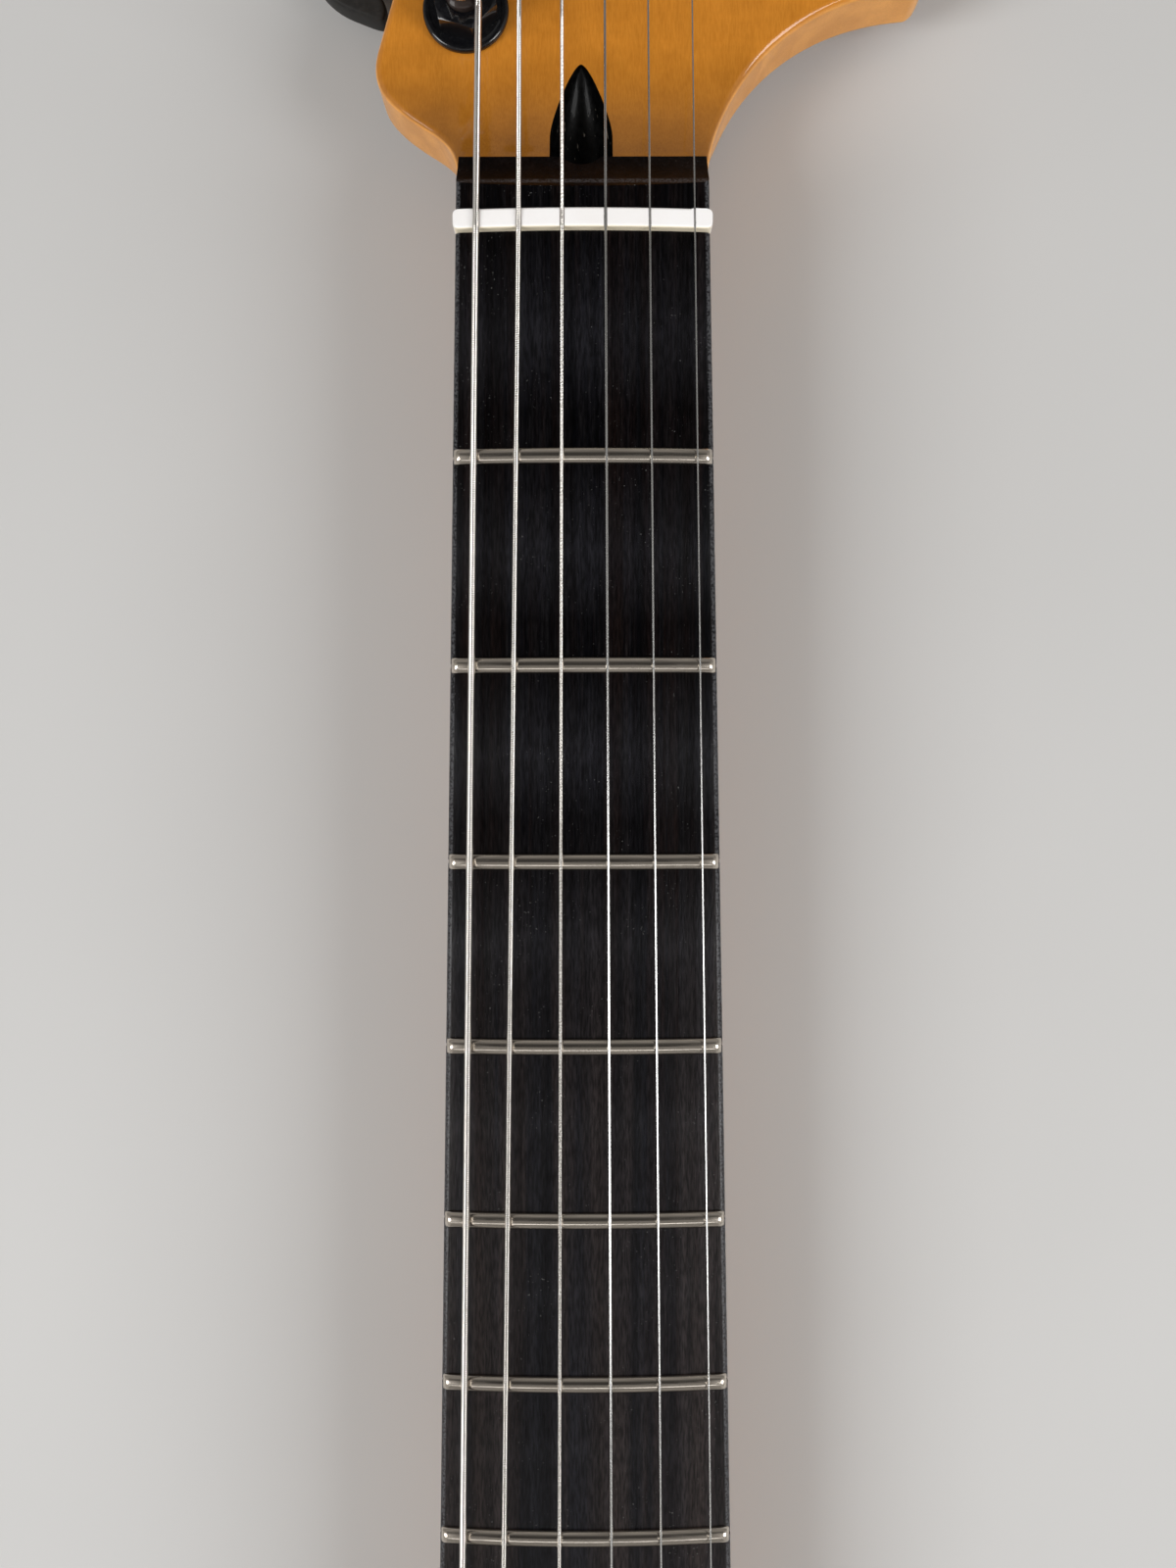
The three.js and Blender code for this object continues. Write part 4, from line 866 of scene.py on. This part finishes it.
def string_path(i):
    points = [over_board(i, -BOARD_LENGTH - STRING_TAIL), over_board(i, 0)]
    post = post_place(i)
    end = Vector((post[0] + winding_radius(i), post[1] - STRING_DIAMETERS[i], WINDING_START_Z))
    for tree, pair in enumerate(TREE_STRINGS):
        if i in pair:
            share = TREE_PLACES[tree] / (end.y - NUT_Y)
            points.append(Vector((NUT_PLACES[i] + (end.x - NUT_PLACES[i]) * share,
                                  along(TREE_PLACES[tree]), TREE_STRING_Z[tree])))
    level = Vector((end.x, end.y - STRING_GAP - STRING_DIAMETERS[i], end.z))
    if level.y > points[-1].y:
        points.append(level)
    points.append(Vector((end.x, end.y - 0.02, end.z)))
    return points


def eased(path, step, radius):
    """The path with its corners rounded and points every step."""
    rounded = [path[0]]
    for before, corner, after in zip(path, path[1:], path[2:]):
        reach = min(radius, (corner - before).length / 3, (after - corner).length / 3)
        a = corner + (before - corner).normalized() * reach
        b = corner + (after - corner).normalized() * reach
        for k in range(5):
            t = k / 4
            rounded.append(a * (1 - t) ** 2 + corner * (2 * t * (1 - t)) + b * t * t)
    rounded.append(path[-1])
    points = [rounded[0]]
    for a, b in zip(rounded, rounded[1:]):
        count = max(1, round((b - a).length / step))
        points += [a.lerp(b, k / count) for k in range(1, count + 1)]
    return points


def wire_skin(name, path, i):
    radius = string_radius(i)
    if i >= len(WRAP_PITCHES):
        return tube(name, eased(path, 6.0, CORNER_EASE), lambda run, turn: radius, 12)
    pitch = WRAP_PITCHES[i]
    wrap = pitch / 2

    def ridge(run, turn):
        phase = abs(((run / pitch + turn / (2 * math.pi)) % 1.0) - 0.5) * 2
        return radius - wrap + wrap * math.sqrt(max(0.0, 1 - phase * phase * 0.92))

    return tube(name, eased(path, pitch / 4, CORNER_EASE), ridge, WRAP_SIDES[i])


def winding_path(i):
    """Round the post, in the frame of its machine, from its tail to its end in the post."""
    diameter = STRING_DIAMETERS[i]
    radius = winding_radius(i)
    east = POST_LINE - math.pi

    def height(turns):
        lift = FIRST_LIFT * smooth(turns / FIRST_TURN)
        return WINDING_START_Z + lift + (diameter + WINDING_GAP) * max(0.0, turns - FIRST_TURN)

    def at(turns, r, z):
        turn = east + 2 * math.pi * turns
        return Vector((r * math.cos(turn), r * math.sin(turn), z))

    back = Vector((math.sin(east), -math.cos(east), 0))
    points = [at(0, radius, WINDING_START_Z) + back * diameter]
    steps = round(WINDING_TURNS * 40)
    points += [at(k / 40, radius, height(k / 40)) for k in range(steps + 1)]
    last = height(WINDING_TURNS)
    ease = 1.5 * diameter / (2 * math.pi * radius)
    points.append(at(WINDING_TURNS + ease, radius - diameter / 2, last))
    points.append(at(WINDING_TURNS + ease, 0.33 * WAIST_RADIUS, last))
    return points


def machine_matrix(i):
    x, y = post_place(i)
    return shift(x, y, 0) @ Matrix.Rotation(math.pi - POST_LINE, 4, "Z")


def make_strings():
    for i in range(MACHINES):
        finish = WOUND if i < len(WRAP_PITCHES) else PLAIN
        path = string_path(i)
        wire = wire_skin(f"wire_{i + 1}", path, i)
        middle = path[0] + Vector((0, STRING_GAP - BALL_RADIUS, 0))
        reach = Vector((BALL_LENGTH / 2, 0, 0))
        ball = rod(f"ball_{i + 1}", BALL_RADIUS, middle - reach, middle + reach, 32)
        bevel(ball, 0.4, 3, lambda points: abs(points[0].x - points[1].x) < 0.01)
        string = join(f"string_{i + 1}_wire", wire, ball)
        finished(string, "neck", finish, [f"string_{i + 1}"], 50, False)
        coil = wire_skin(f"string_{i + 1}_winding", winding_path(i), i)
        coil.data.transform(machine_matrix(i))
        finished(coil, f"post_{i + 1}", finish, (), 50, False)


# The neck and its board

def neck_point(x, y, z):
    d = y - NUT_Y
    top = face_height(d)
    rise = back_rise(d)
    share = z / HEAD_THICKNESS
    z = rise + share * (top - rise)
    carve = carve_share(d)
    if carve > 0 and share < 0.999 and d < BOARD_TOE + 10:
        half = max(abs(x), half_width(d), 1.0)
        depth = NECK_DEPTH - rise
        down = NECK_DEPTH - z
        size = (abs(x) / half) ** ROUNDNESS + (down / depth) ** ROUNDNESS
        size = max(size ** (1 / ROUNDNESS), 1e-6)
        x += (x / size - x) * carve
        z += (NECK_DEPTH - down / size - z) * carve
    return x, y, z


def access_cutter():
    rings = []
    steps = 24
    for i in range(-4, steps + 1):
        t = max(i, 0) / steps
        d = ACCESS_MOUTH + (ACCESS_TIP - ACCESS_MOUTH) * math.sin(math.pi / 2 * t) + min(i, 0) * 1.2
        run = max(d - ACCESS_MOUTH, 0.0) / (ACCESS_TIP - ACCESS_MOUTH)
        half = (ACCESS_TIP_RADIUS * math.sqrt(1 - run ** 8)
                + (ACCESS_RADIUS - ACCESS_TIP_RADIUS) * (1 - run ** 1.5))
        deep = (ACCESS_RADIUS + HEAD_THICKNESS - ACCESS_Z) * (1 - run ** 2) + ACCESS_TIP_RADIUS * run
        ring = []
        for k in range(33):
            turn = math.pi * k / 32
            ring.append((ACCESS_X + half * math.cos(turn), along(d),
                         HEAD_THICKNESS - deep * math.sin(turn)))
        ring.append((ACCESS_X - half, along(d), PAST_TOP))
        ring.append((ACCESS_X + half, along(d), PAST_TOP))
        rings.append(ring)
    cutter = skin("cavity_cutter", rings)
    tidy(cutter)
    return cutter


def bore_cutter():
    return rod("bore_cutter", ACCESS_RADIUS, (ACCESS_X, along(-14), ACCESS_Z),
               (ACCESS_X, along(ACCESS_MOUTH), ACCESS_Z), 64)


def make_neck():
    neck = plate("neck_wood", neck_outline(), 0.0, HEAD_THICKNESS)
    bevel(neck, EDGE_ROUND, 5, lambda p: min(q.z for q in p) > HEAD_THICKNESS - 0.01
          and min(q.y for q in p) > along(SIDE_END) - 0.01)
    bevel(neck, BACK_ROUND, 4, lambda p: max(q.z for q in p) < 0.01)
    # Edge loops along the shaft, over the slope of the heel and around the nut
    loops = [-350 + 26 * k for k in range(13)]
    loops += [HEEL_BLOCK - NECK_LENGTH + 3.0 * k for k in range(12)]
    loops += [-24 + 2.0 * k for k in range(31)]
    slice_across(neck, 1, [along(d) for d in loops + [BOARD_TOE]])

    def shaft_face(points):
        return -390 < sum(p.y for p in points) / len(points) - NUT_Y < 36

    slice_across(neck, 0, [-21 + 2.1 * k for k in range(21)], shaft_face)
    slice_across(neck, 2, [3.2, 5.0, 6.8, 8.6, 10.2, 11.8, 13.2], shaft_face)
    move_points(neck, neck_point)
    cavity = access_cutter()
    bore = bore_cutter()
    for cutter in (cavity, bore):
        cutter.data.materials.append(CAVITY_BLACK)
    neck.data.materials.append(MAPLE)
    low = (ACCESS_X - CHANNEL_WIDTH / 2, along(CHANNEL_ENDS[0]), NECK_DEPTH - CHANNEL_DEPTH)
    high = (ACCESS_X + CHANNEL_WIDTH / 2, along(CHANNEL_ENDS[1]), NECK_DEPTH + OVERRUN)
    channel = block("channel_cutter", low, high)
    cut(neck, cavity, bore, channel)
    for x in (-HEEL_HOLES[0], HEEL_HOLES[0]):
        for y in (-HEEL_HOLES[1], HEEL_HOLES[1]):
            drill(neck, HEEL_PILOT_RADIUS, (x, y), -OVERRUN, HEEL_PILOT_DEPTH, 24)
    for i in range(MACHINES):
        drill(neck, POST_HOLE_RADIUS, post_place(i), -OVERRUN, 30, 32)
    smooth_shade(neck, 32)
    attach(neck, "neck")
    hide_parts("neck_shaft")


def fret_spaces():
    return [0] + [fret_place(n) for n in range(1, FRET_COUNT + 1)]


def paint_sheen_and_rims(board):
    """Painted sheen in the middle of every fret space, painted sheen and brown streaks towards the heel, a
    lighter speckled line on the rolled edges.
    """
    stops = fret_spaces()
    sheen = board.data.attributes.new("sheen", "FLOAT", "POINT")
    warm = board.data.attributes.new("warm", "FLOAT", "POINT")
    worn = board.data.attributes.new("worn", "FLOAT", "POINT")
    for i, vertex in enumerate(board.data.vertices):
        x, y, z = vertex.co / MM
        d = y - NUT_Y
        share = 0.0
        for near, far in zip(stops, stops[1:]):
            if far <= d <= near:
                place = (d - near) / (far - near)
                share = max(0.0, 1 - abs(place - SHEEN_MIDDLE) / SHEEN_REACH)
        # Towards the heel a painted sheen lifts the whole fret space, for the board's brighter reflection
        # there
        warm.data[i].value = smooth((HEEL_SHEEN_FROM - d) / HEEL_SHEEN_RUN)
        sheen.data[i].value = max(smooth(share), HEEL_SHEEN_SHARE * warm.data[i].value)
        # The rolled edges carry a lighter speckled line
        rolled = abs(x) > half_width(d) - BOARD_ROLL * 0.8 and z > crown(x) - 0.8
        worn.data[i].value = 1.0 if rolled else 0.0


def make_board():
    end = half_width(-BOARD_LENGTH)
    board = block("board_wood", (-end, along(-BOARD_LENGTH), NECK_DEPTH + GLUE_LINE),
                  (end, along(BOARD_TOE + 5), CROWN_Z))
    slice_across(board, 0, [end * (-1 + k / 14) for k in range(1, 28)])
    spaces = fret_spaces()
    for near, far in zip(spaces, spaces[1:]):
        slice_across(board, 1, [along(near + (far - near) * share) for share in SPACE_SLICES])

    def place(x, y, z):
        x *= half_width(y - NUT_Y) / end
        return x, y, crown(x) if z > NECK_DEPTH + 1 else z

    move_points(board, place)

    def rim(points):
        return all(p.z > NECK_DEPTH + 1 and abs(p.x) > half_width(p.y - NUT_Y) - 0.01 for p in points)

    bevel(board, BOARD_ROLL, 5, rim)
    drum = rod("drum_cutter", SWEEP_RADIUS - GLUE_LINE,
               (-PAST_SIDE, along(SWEEP_END), HEAD_THICKNESS + SWEEP_RADIUS),
               (PAST_SIDE, along(SWEEP_END), HEAD_THICKNESS + SWEEP_RADIUS), 256)
    near = along(NUT_SET_BACK - NUT_CLEARANCE)
    far = along(NUT_SET_BACK + NUT_THICKNESS + NUT_CLEARANCE)
    slot = block("slot_cutter", (-PAST_SIDE, near, NUT_FLOOR - NUT_CLEARANCE), (PAST_SIDE, far, PAST_TOP))
    cut(board, drum, slot, bore_cutter())
    saws = []
    half_saw = SAW_WIDTH / 2
    for n in range(1, FRET_COUNT + 1):
        d = fret_place(n)
        floor = crown(half_width(d)) - SAW_DEPTH
        saws.append(block("saw", (-PAST_SIDE, along(d) - half_saw, floor),
                          (PAST_SIDE, along(d) + half_saw, PAST_TOP)))
    cut(board, join("saw_cutter", *saws))
    paint_sheen_and_rims(board)
    finished(board, "neck", BOARD, ["fretboard"], 30)


def make_nut():
    half = NUT_WIDTH / 2
    nut = block("nut_bone", (-half, along(0), NUT_FLOOR), (half, along(NUT_THICKNESS), 28.0))
    slice_across(nut, 0, [half * (-1 + k / 12) for k in range(1, 24)])

    def place(x, y, z):
        if z > 27:
            z = crown(x) + NUT_HEIGHT - NUT_DROP * (y - NUT_Y) / NUT_THICKNESS
        return x, y, z

    move_points(nut, place)

    def top_rim(p):
        front = max(abs(q.y - NUT_Y) for q in p) < 0.01
        back = max(abs(q.y - NUT_Y - NUT_THICKNESS) for q in p) < 0.01
        end = min(abs(q.x) for q in p) > half - NUT_END_ROUND - 0.05
        return min(q.z for q in p) > 26 and (front or back or end)

    bevel(nut, NUT_END_ROUND, 4,
          lambda p: min(abs(q.x) for q in p) > half - 0.01 and abs(p[0].z - p[1].z) > 1)
    bevel(nut, NUT_EDGE_ROUND, 4, top_rim)
    for i in range(MACHINES):
        path = string_path(i)
        run = (path[2] - path[1]).normalized()
        radius = string_radius(i) + SLOT_CLEARANCE
        low = rod("slot_low", radius, path[1] - run * 5, path[1] + run * 8, 24)
        cut(nut, low)
        top = block("slot_top", (-radius, -5, 0), (radius, 8, 6))
        turn = Vector((0, 1, 0)).rotation_difference(run).to_matrix().to_4x4()
        top.data.transform(shift(*path[1]) @ turn)
        cut(nut, top)
    nut.data.transform(shift(0, NUT_SET_BACK, 0))
    finished(nut, "neck", BONE, ["nut"], 40)


def make_frets():
    """One fret wire, domed at both ends, then a stretched and crowned copy for every place."""
    half = 20.0
    stations = [0.0, 0.04, 0.12, 0.25, 0.42, 0.62, 0.82, 1.0]
    runs = [-half + FRET_DOME * s for s in stations]
    runs += [-half + 3 + (2 * half - 6) * k / 20 for k in range(21)]
    runs += [half - FRET_DOME * s for s in reversed(stations)]
    tang = TANG_THICKNESS / 2
    rings = []
    for x in runs:
        near = min(1.0, (half - abs(x)) / FRET_DOME)
        swell = math.sqrt(max(0.02, 1 - (1 - near) ** 2))
        ring = []
        for k in range(17):
            turn = math.pi * k / 16
            y = FRET_WIDTH / 2 * math.cos(turn) * (0.72 + 0.28 * swell)
            z = FRET_HEIGHT * math.sin(turn) ** 0.85 * swell
            ring.append((x, y, z))
        ring += [(x, -tang, -0.02), (x, -tang, -TANG_DEPTH), (x, tang, -TANG_DEPTH), (x, tang, -0.02)]
        rings.append(ring)
    wire = skin("fret_wire", rings)
    tidy(wire, 0.0001)
    for n in range(1, FRET_COUNT + 1):
        d = fret_place(n)
        reach = half_width(d) - FRET_INSET - half
        fret = placed_copy(f"fret_wire_{n:02d}", wire, Matrix.Identity(4))

        def place(x, y, z, d=d, reach=reach):
            x += reach * max(-1.0, min(1.0, x / (half - 2)))
            height = crown(x) + FRET_SEAT + z
            if z < -1:
                height = max(height, crown(half_width(d)) - TANG_FLOOR)
            return x, y + along(d), height

        move_points(fret, place)
        finished(fret, "neck", NICKEL, [f"fret_{n:02d}"], 40, False)
    bpy.data.objects.remove(wire)


# Tuning machines, each part made once at the origin in the frame of the machine

CASE_RADIUS = 8.98
CASE_FAR = -15.025
CASE_CORNER = 5.0
CASE_TOP = -0.2
CASE_BOTTOM = -11.2
CASE_ROUND = 1.3
BOSS_RADIUS = 3.4
BOSS_LENGTH = 3.2
EAR_RADIUS = 3.2
EAR_PLACE = -13.2
EAR_BOTTOM = -1.8
EAR_HOLE_RADIUS = 1.3
SHAFT_RADIUS = 1.9
SHAFT_HOLE_RADIUS = 2.05
POST_BORE_RADIUS = 3.1


def on_shaft(x):
    return x, -WORM_OFFSET, GEAR_PLANE_Z


def machine_case():
    far = CASE_FAR + CASE_CORNER
    outline = arc(CASE_RADIUS - CASE_CORNER, far, CASE_CORNER, -90, 0, 16)
    outline += arc(0, 0, CASE_RADIUS, 0, 180, 16)
    outline += arc(CASE_CORNER - CASE_RADIUS, far, CASE_CORNER, 180, 270, 16)
    case = plate("case", outline, CASE_BOTTOM, CASE_TOP)
    bevel(case, CASE_ROUND, 5, lambda p: max(q.z for q in p) < CASE_BOTTOM + 0.01)
    bevel(case, 0.35, 2, lambda p: min(q.z for q in p) > CASE_TOP - 0.01)
    boss_end = CASE_RADIUS + BOSS_LENGTH
    boss = rod("boss", BOSS_RADIUS, on_shaft(CASE_RADIUS - CASE_ROUND), on_shaft(boss_end))
    bevel(boss, 0.5, 3, lambda p: min(q.x for q in p) > boss_end - 0.01)
    root = EAR_RADIUS - CASE_RADIUS
    ear_outline = [(root, EAR_RADIUS)] + arc(EAR_PLACE, 0, EAR_RADIUS, 90, 270, 16) + [(root, -EAR_RADIUS)]
    ear = plate("ear", ear_outline, EAR_BOTTOM, CASE_TOP)
    bevel(ear, 0.35, 3, lambda p: max(q.z for q in p) < EAR_BOTTOM + 0.01)
    cut(case, boss, ear, operation="UNION")
    cut(case, rod("shaft_cutter", SHAFT_HOLE_RADIUS, on_shaft(4.0), on_shaft(20.0)))
    drill(case, POST_BORE_RADIUS, (0, 0), -4, OVERRUN)
    drill(case, EAR_HOLE_RADIUS, (EAR_PLACE, 0), -OVERRUN, OVERRUN, 24)
    return case


CROSS_WIDTH = 0.32


def screw_head(name, x, y, top, radius, height, up):
    """A domed wood screw head with a cross recess; up is -1 for one driven from the back."""
    profile = [(0, 0), (radius * 0.92, 0), (radius, height * 0.18)]
    for k in range(1, 9):
        turn = math.pi / 2 * k / 8
        profile.append((radius * math.cos(turn), height * (0.18 + 0.82 * math.sin(turn))))
    head = turned(name, profile, 32)
    long = radius * 1.1 / 2
    thin = CROSS_WIDTH / 2
    for x_reach, y_reach in ((long, thin), (thin, long)):
        cut(head, block("cross", (-x_reach, -y_reach, height * 0.35), (x_reach, y_reach, height * 2)))
    flip = Matrix.Scale(up, 4, (0, 0, 1))
    head.data.transform(shift(x, y, top) @ flip)
    tidy(head)
    return head


# The post from its pivot up, radius and height: wheel, column, waist for the string, cupped head
POST_PROFILE = (
    (0, -9.6), (2.0, -9.6), (2.0, -7.4), (6.9, -7.4), (6.9, -4.4), (3.0, -4.4), (3.0, 21.2),
    (2.9, 21.5), (2.2, 21.9), (WAIST_RADIUS, 22.3), (WAIST_RADIUS, 27.9), (2.2, 28.3),
    (2.9, 28.6), (3.0, 28.9), (3.0, 30.2), (2.85, 30.55), (2.45, 30.8), (1.5, 30.8),
    (1.3, 30.7), (1.15, 30.3), (0, 30.1),
)
WASHER_FACE = 14.5
WASHER_TOP = 15.7
WASHER_RADIUS = 7.3
WASHER_ROUND = 0.6
SLEEVE_RADIUS = 4.75
SLEEVE_BOTTOM = 2.5
HEX_ACROSS_FLATS = 10.0
HEX_HEIGHT = 5.0
HEX_CHAMFER = 0.5
BUSHING_BORE_RADIUS = 3.15


def machine_bushing():
    """A sleeve with its washer, and the hex with a chamfered top."""
    face = WASHER_FACE
    top = WASHER_TOP
    profile = [(0, SLEEVE_BOTTOM), (SLEEVE_RADIUS, SLEEVE_BOTTOM), (SLEEVE_RADIUS, face),
               (WASHER_RADIUS - 0.15, face), (WASHER_RADIUS, face + 0.15)]
    profile += arc(WASHER_RADIUS - WASHER_ROUND, top - WASHER_ROUND, WASHER_ROUND, 0, 90, 6)
    profile += [(6.1, top), (5.9, top - 0.12), (0, top - 0.12)]
    washer = turned("washer", profile, 96)
    corner = HEX_ACROSS_FLATS / 2 / math.cos(math.pi / 6)
    hex_top = top + HEX_HEIGHT
    nut = rod("hex", corner, (0, 0, top - 0.4), (0, 0, hex_top), 6)
    nut.data.transform(Matrix.Rotation(math.radians(30), 4, "Z"))
    cone = turned("cone", [(0, top - 2), (corner + 0.1, top - 2), (corner + 0.1, hex_top - HEX_CHAMFER),
                           (HEX_ACROSS_FLATS / 2 - 0.05, hex_top), (0, hex_top)], 96)
    cut(nut, cone, operation="INTERSECT")
    drill(nut, BUSHING_BORE_RADIUS, (0, 0), 0, PAST_TOP)
    drill(washer, BUSHING_BORE_RADIUS, (0, 0), -10, PAST_TOP)
    bevel(nut, 0.18, 2, lambda p: abs(p[0].z - p[1].z) > 2 and math.hypot(p[0].x, p[0].y) > 5)
    return join("bushing", washer, nut)


BUTTON_START = 17.9
BUTTON_LENGTH = 15.75
BUTTON_HALF_WIDTH = 8.15
BUTTON_THICKNESS = 5.6
BUTTON_BEVEL = 0.9
COLLAR_RADIUS = 2.9
COLLAR_START = 14.2
COLLAR_END = 22.0
SHAFT_START = -6.4
SHAFT_END = 15.0
LOBE_SHARES = ((0.12, 1.03), (0.01, 1.03), (-0.04, 0.97), (-0.03, 0.75), (0.01, 0.6), (0.05, 0.52))
NOTCH_SHARES = ((0.12, 0.36), (0.16, 0.14), (0.16, -0.14), (0.12, -0.36))


def machine_button():
    """A kidney outline with a notch at the shaft, rounded by subdivision, on its collar and shaft."""
    def at(sx, sy):
        return BUTTON_START + sx * BUTTON_LENGTH, sy * BUTTON_HALF_WIDTH - WORM_OFFSET

    points = [at(sx, -sy) for sx, sy in LOBE_SHARES[::-1]] + [at(0.26, -1.0)]
    points += cubic(points[-1], at(0.58, -1.0), at(0.96, -0.67), at(0.99, 0), 7)
    points += cubic(points[-1], at(0.96, 0.67), at(0.58, 1.0), at(0.26, 1.0), 7)
    points += [at(*shares) for shares in LOBE_SHARES + NOTCH_SHARES]
    low = GEAR_PLANE_Z - BUTTON_THICKNESS / 2
    high = GEAR_PLANE_Z + BUTTON_THICKNESS / 2
    body = plate("kidney", points, low, high)
    bevel(body, BUTTON_BEVEL, 2,
          lambda p: max(q.z for q in p) < low + 0.01 or min(q.z for q in p) > high - 0.01)
    modify(body, "SUBSURF", levels=2, render_levels=2)
    collar = rod("collar", COLLAR_RADIUS, on_shaft(COLLAR_START), on_shaft(COLLAR_END))
    bevel(collar, 0.4, 3, lambda p: max(q.x for q in p) < COLLAR_START + 0.01)
    body = join("button", body, collar)
    return join("button", body, rod("shaft", SHAFT_RADIUS, on_shaft(SHAFT_START), on_shaft(SHAFT_END)))


def make_machines():
    parts = {"case": machine_case(), "post": turned("post", POST_PROFILE), "bushing": machine_bushing(),
             "button": machine_button(),
             "screw": screw_head("ear_screw", EAR_PLACE, 0, EAR_BOTTOM, 2.4, 1.5, -1)}
    looks = {"case": ("neck", "gloss_black", GLOSS_BLACK, "housing"),
             "post": ("post_{}", "post_black", POST_BROWN, "post"),
             "bushing": ("neck", "gloss_black", GLOSS_BLACK, "bushing"),
             "button": ("button_{}", "satin_black", SATIN_BLACK, "button"),
             "screw": ("neck", "gloss_black", GLOSS_BLACK, None)}
    for i in range(MACHINES):
        for kind, (body, slot, finish, node) in looks.items():
            piece = placed_copy(f"machine_{i + 1}_{kind}", parts[kind], machine_matrix(i))
            nodes = [f"tuner_{i + 1}_{node}"] if node else []
            finished(piece, body.format(i + 1), finish, nodes, 35, kind != "post")
    for part in parts.values():
        bpy.data.objects.remove(part)


TREE_HALF_LENGTH = 6.3
TREE_HALF_WIDTH = 3.0
TREE_THICKNESS = 1.0
TREE_BEND_RADIUS = 3.4
TREE_CLEARANCE = 0.08
TREE_SEAT = 0.1
STEM_RADIUS = 1.9
STEM_FOOT = 2.2


def make_trees():
    """String guides: a strip curled over two strings, on a stem with its screw."""
    for tree, pair in enumerate(TREE_STRINGS):
        spots = [string_path(i)[2] for i in pair]
        radius = max(string_radius(i) for i in pair)
        x = (spots[0].x + spots[1].x) / 2
        y = spots[0].y
        low = spots[0].z + radius + TREE_CLEARANCE
        strip = block("strip", (-TREE_HALF_LENGTH, -TREE_HALF_WIDTH, 0),
                      (TREE_HALF_LENGTH, TREE_HALF_WIDTH, TREE_THICKNESS))
        slice_across(strip, 1, [TREE_HALF_WIDTH * (k / 8 - 1) for k in range(1, 16)])

        def corner(p):
            at_end = min(abs(q.x) for q in p) > TREE_HALF_LENGTH - 0.01
            at_side = min(abs(q.y) for q in p) > TREE_HALF_WIDTH - 0.01
            return at_end and at_side and abs(p[0].z - p[1].z) > 0.5

        bevel(strip, 1.6, 5, corner)

        def curl(px, py, pz):
            turn = 0.9 * py / TREE_HALF_WIDTH
            reach = TREE_BEND_RADIUS - pz
            return px, reach * math.sin(turn), TREE_BEND_RADIUS - reach * math.cos(turn)

        move_points(strip, curl)
        bevel(strip, 0.22, 2, lambda p: min(abs(q.x) for q in p) > TREE_HALF_LENGTH - 0.1)
        strip.data.transform(shift(x, y, low))
        height = low - HEAD_THICKNESS - TREE_SEAT
        foot = [(0, 0), (STEM_FOOT, 0), (STEM_FOOT, 0.4), (STEM_RADIUS, 0.7)]
        neck = [(STEM_RADIUS, height - 0.5), (STEM_FOOT, height - 0.2), (STEM_FOOT, height + 0.3)]
        stem = turned("stem", foot + neck + [(0, height + 0.3)], 40)
        stem.data.transform(shift(x, y, HEAD_THICKNESS + TREE_SEAT))
        head = screw_head("head", x, y, low + TREE_THICKNESS, 2.5, 1.5, 1)
        guide = join(f"string_guide_{tree + 1}", strip, stem, head)
        finished(guide, "neck", GLOSS_BLACK, [f"string_tree_{tree + 1}"], 35)


def finish_carried_nodes():
    """The truss rod keeps its CAD solids and gets finishes of its own."""
    for node, finish in (("truss_rod", STEEL), ("truss_rod_bar", STEEL), ("truss_rod_nut", BRASS)):
        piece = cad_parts[node]
        piece.data.materials.clear()
        piece.data.materials.append(finish)


set_camera()
set_lights()
lay_floor()
make_strings()
make_neck()
make_board()
make_nut()
make_frets()
make_machines()
make_trees()
finish_carried_nodes()
clear_selection()
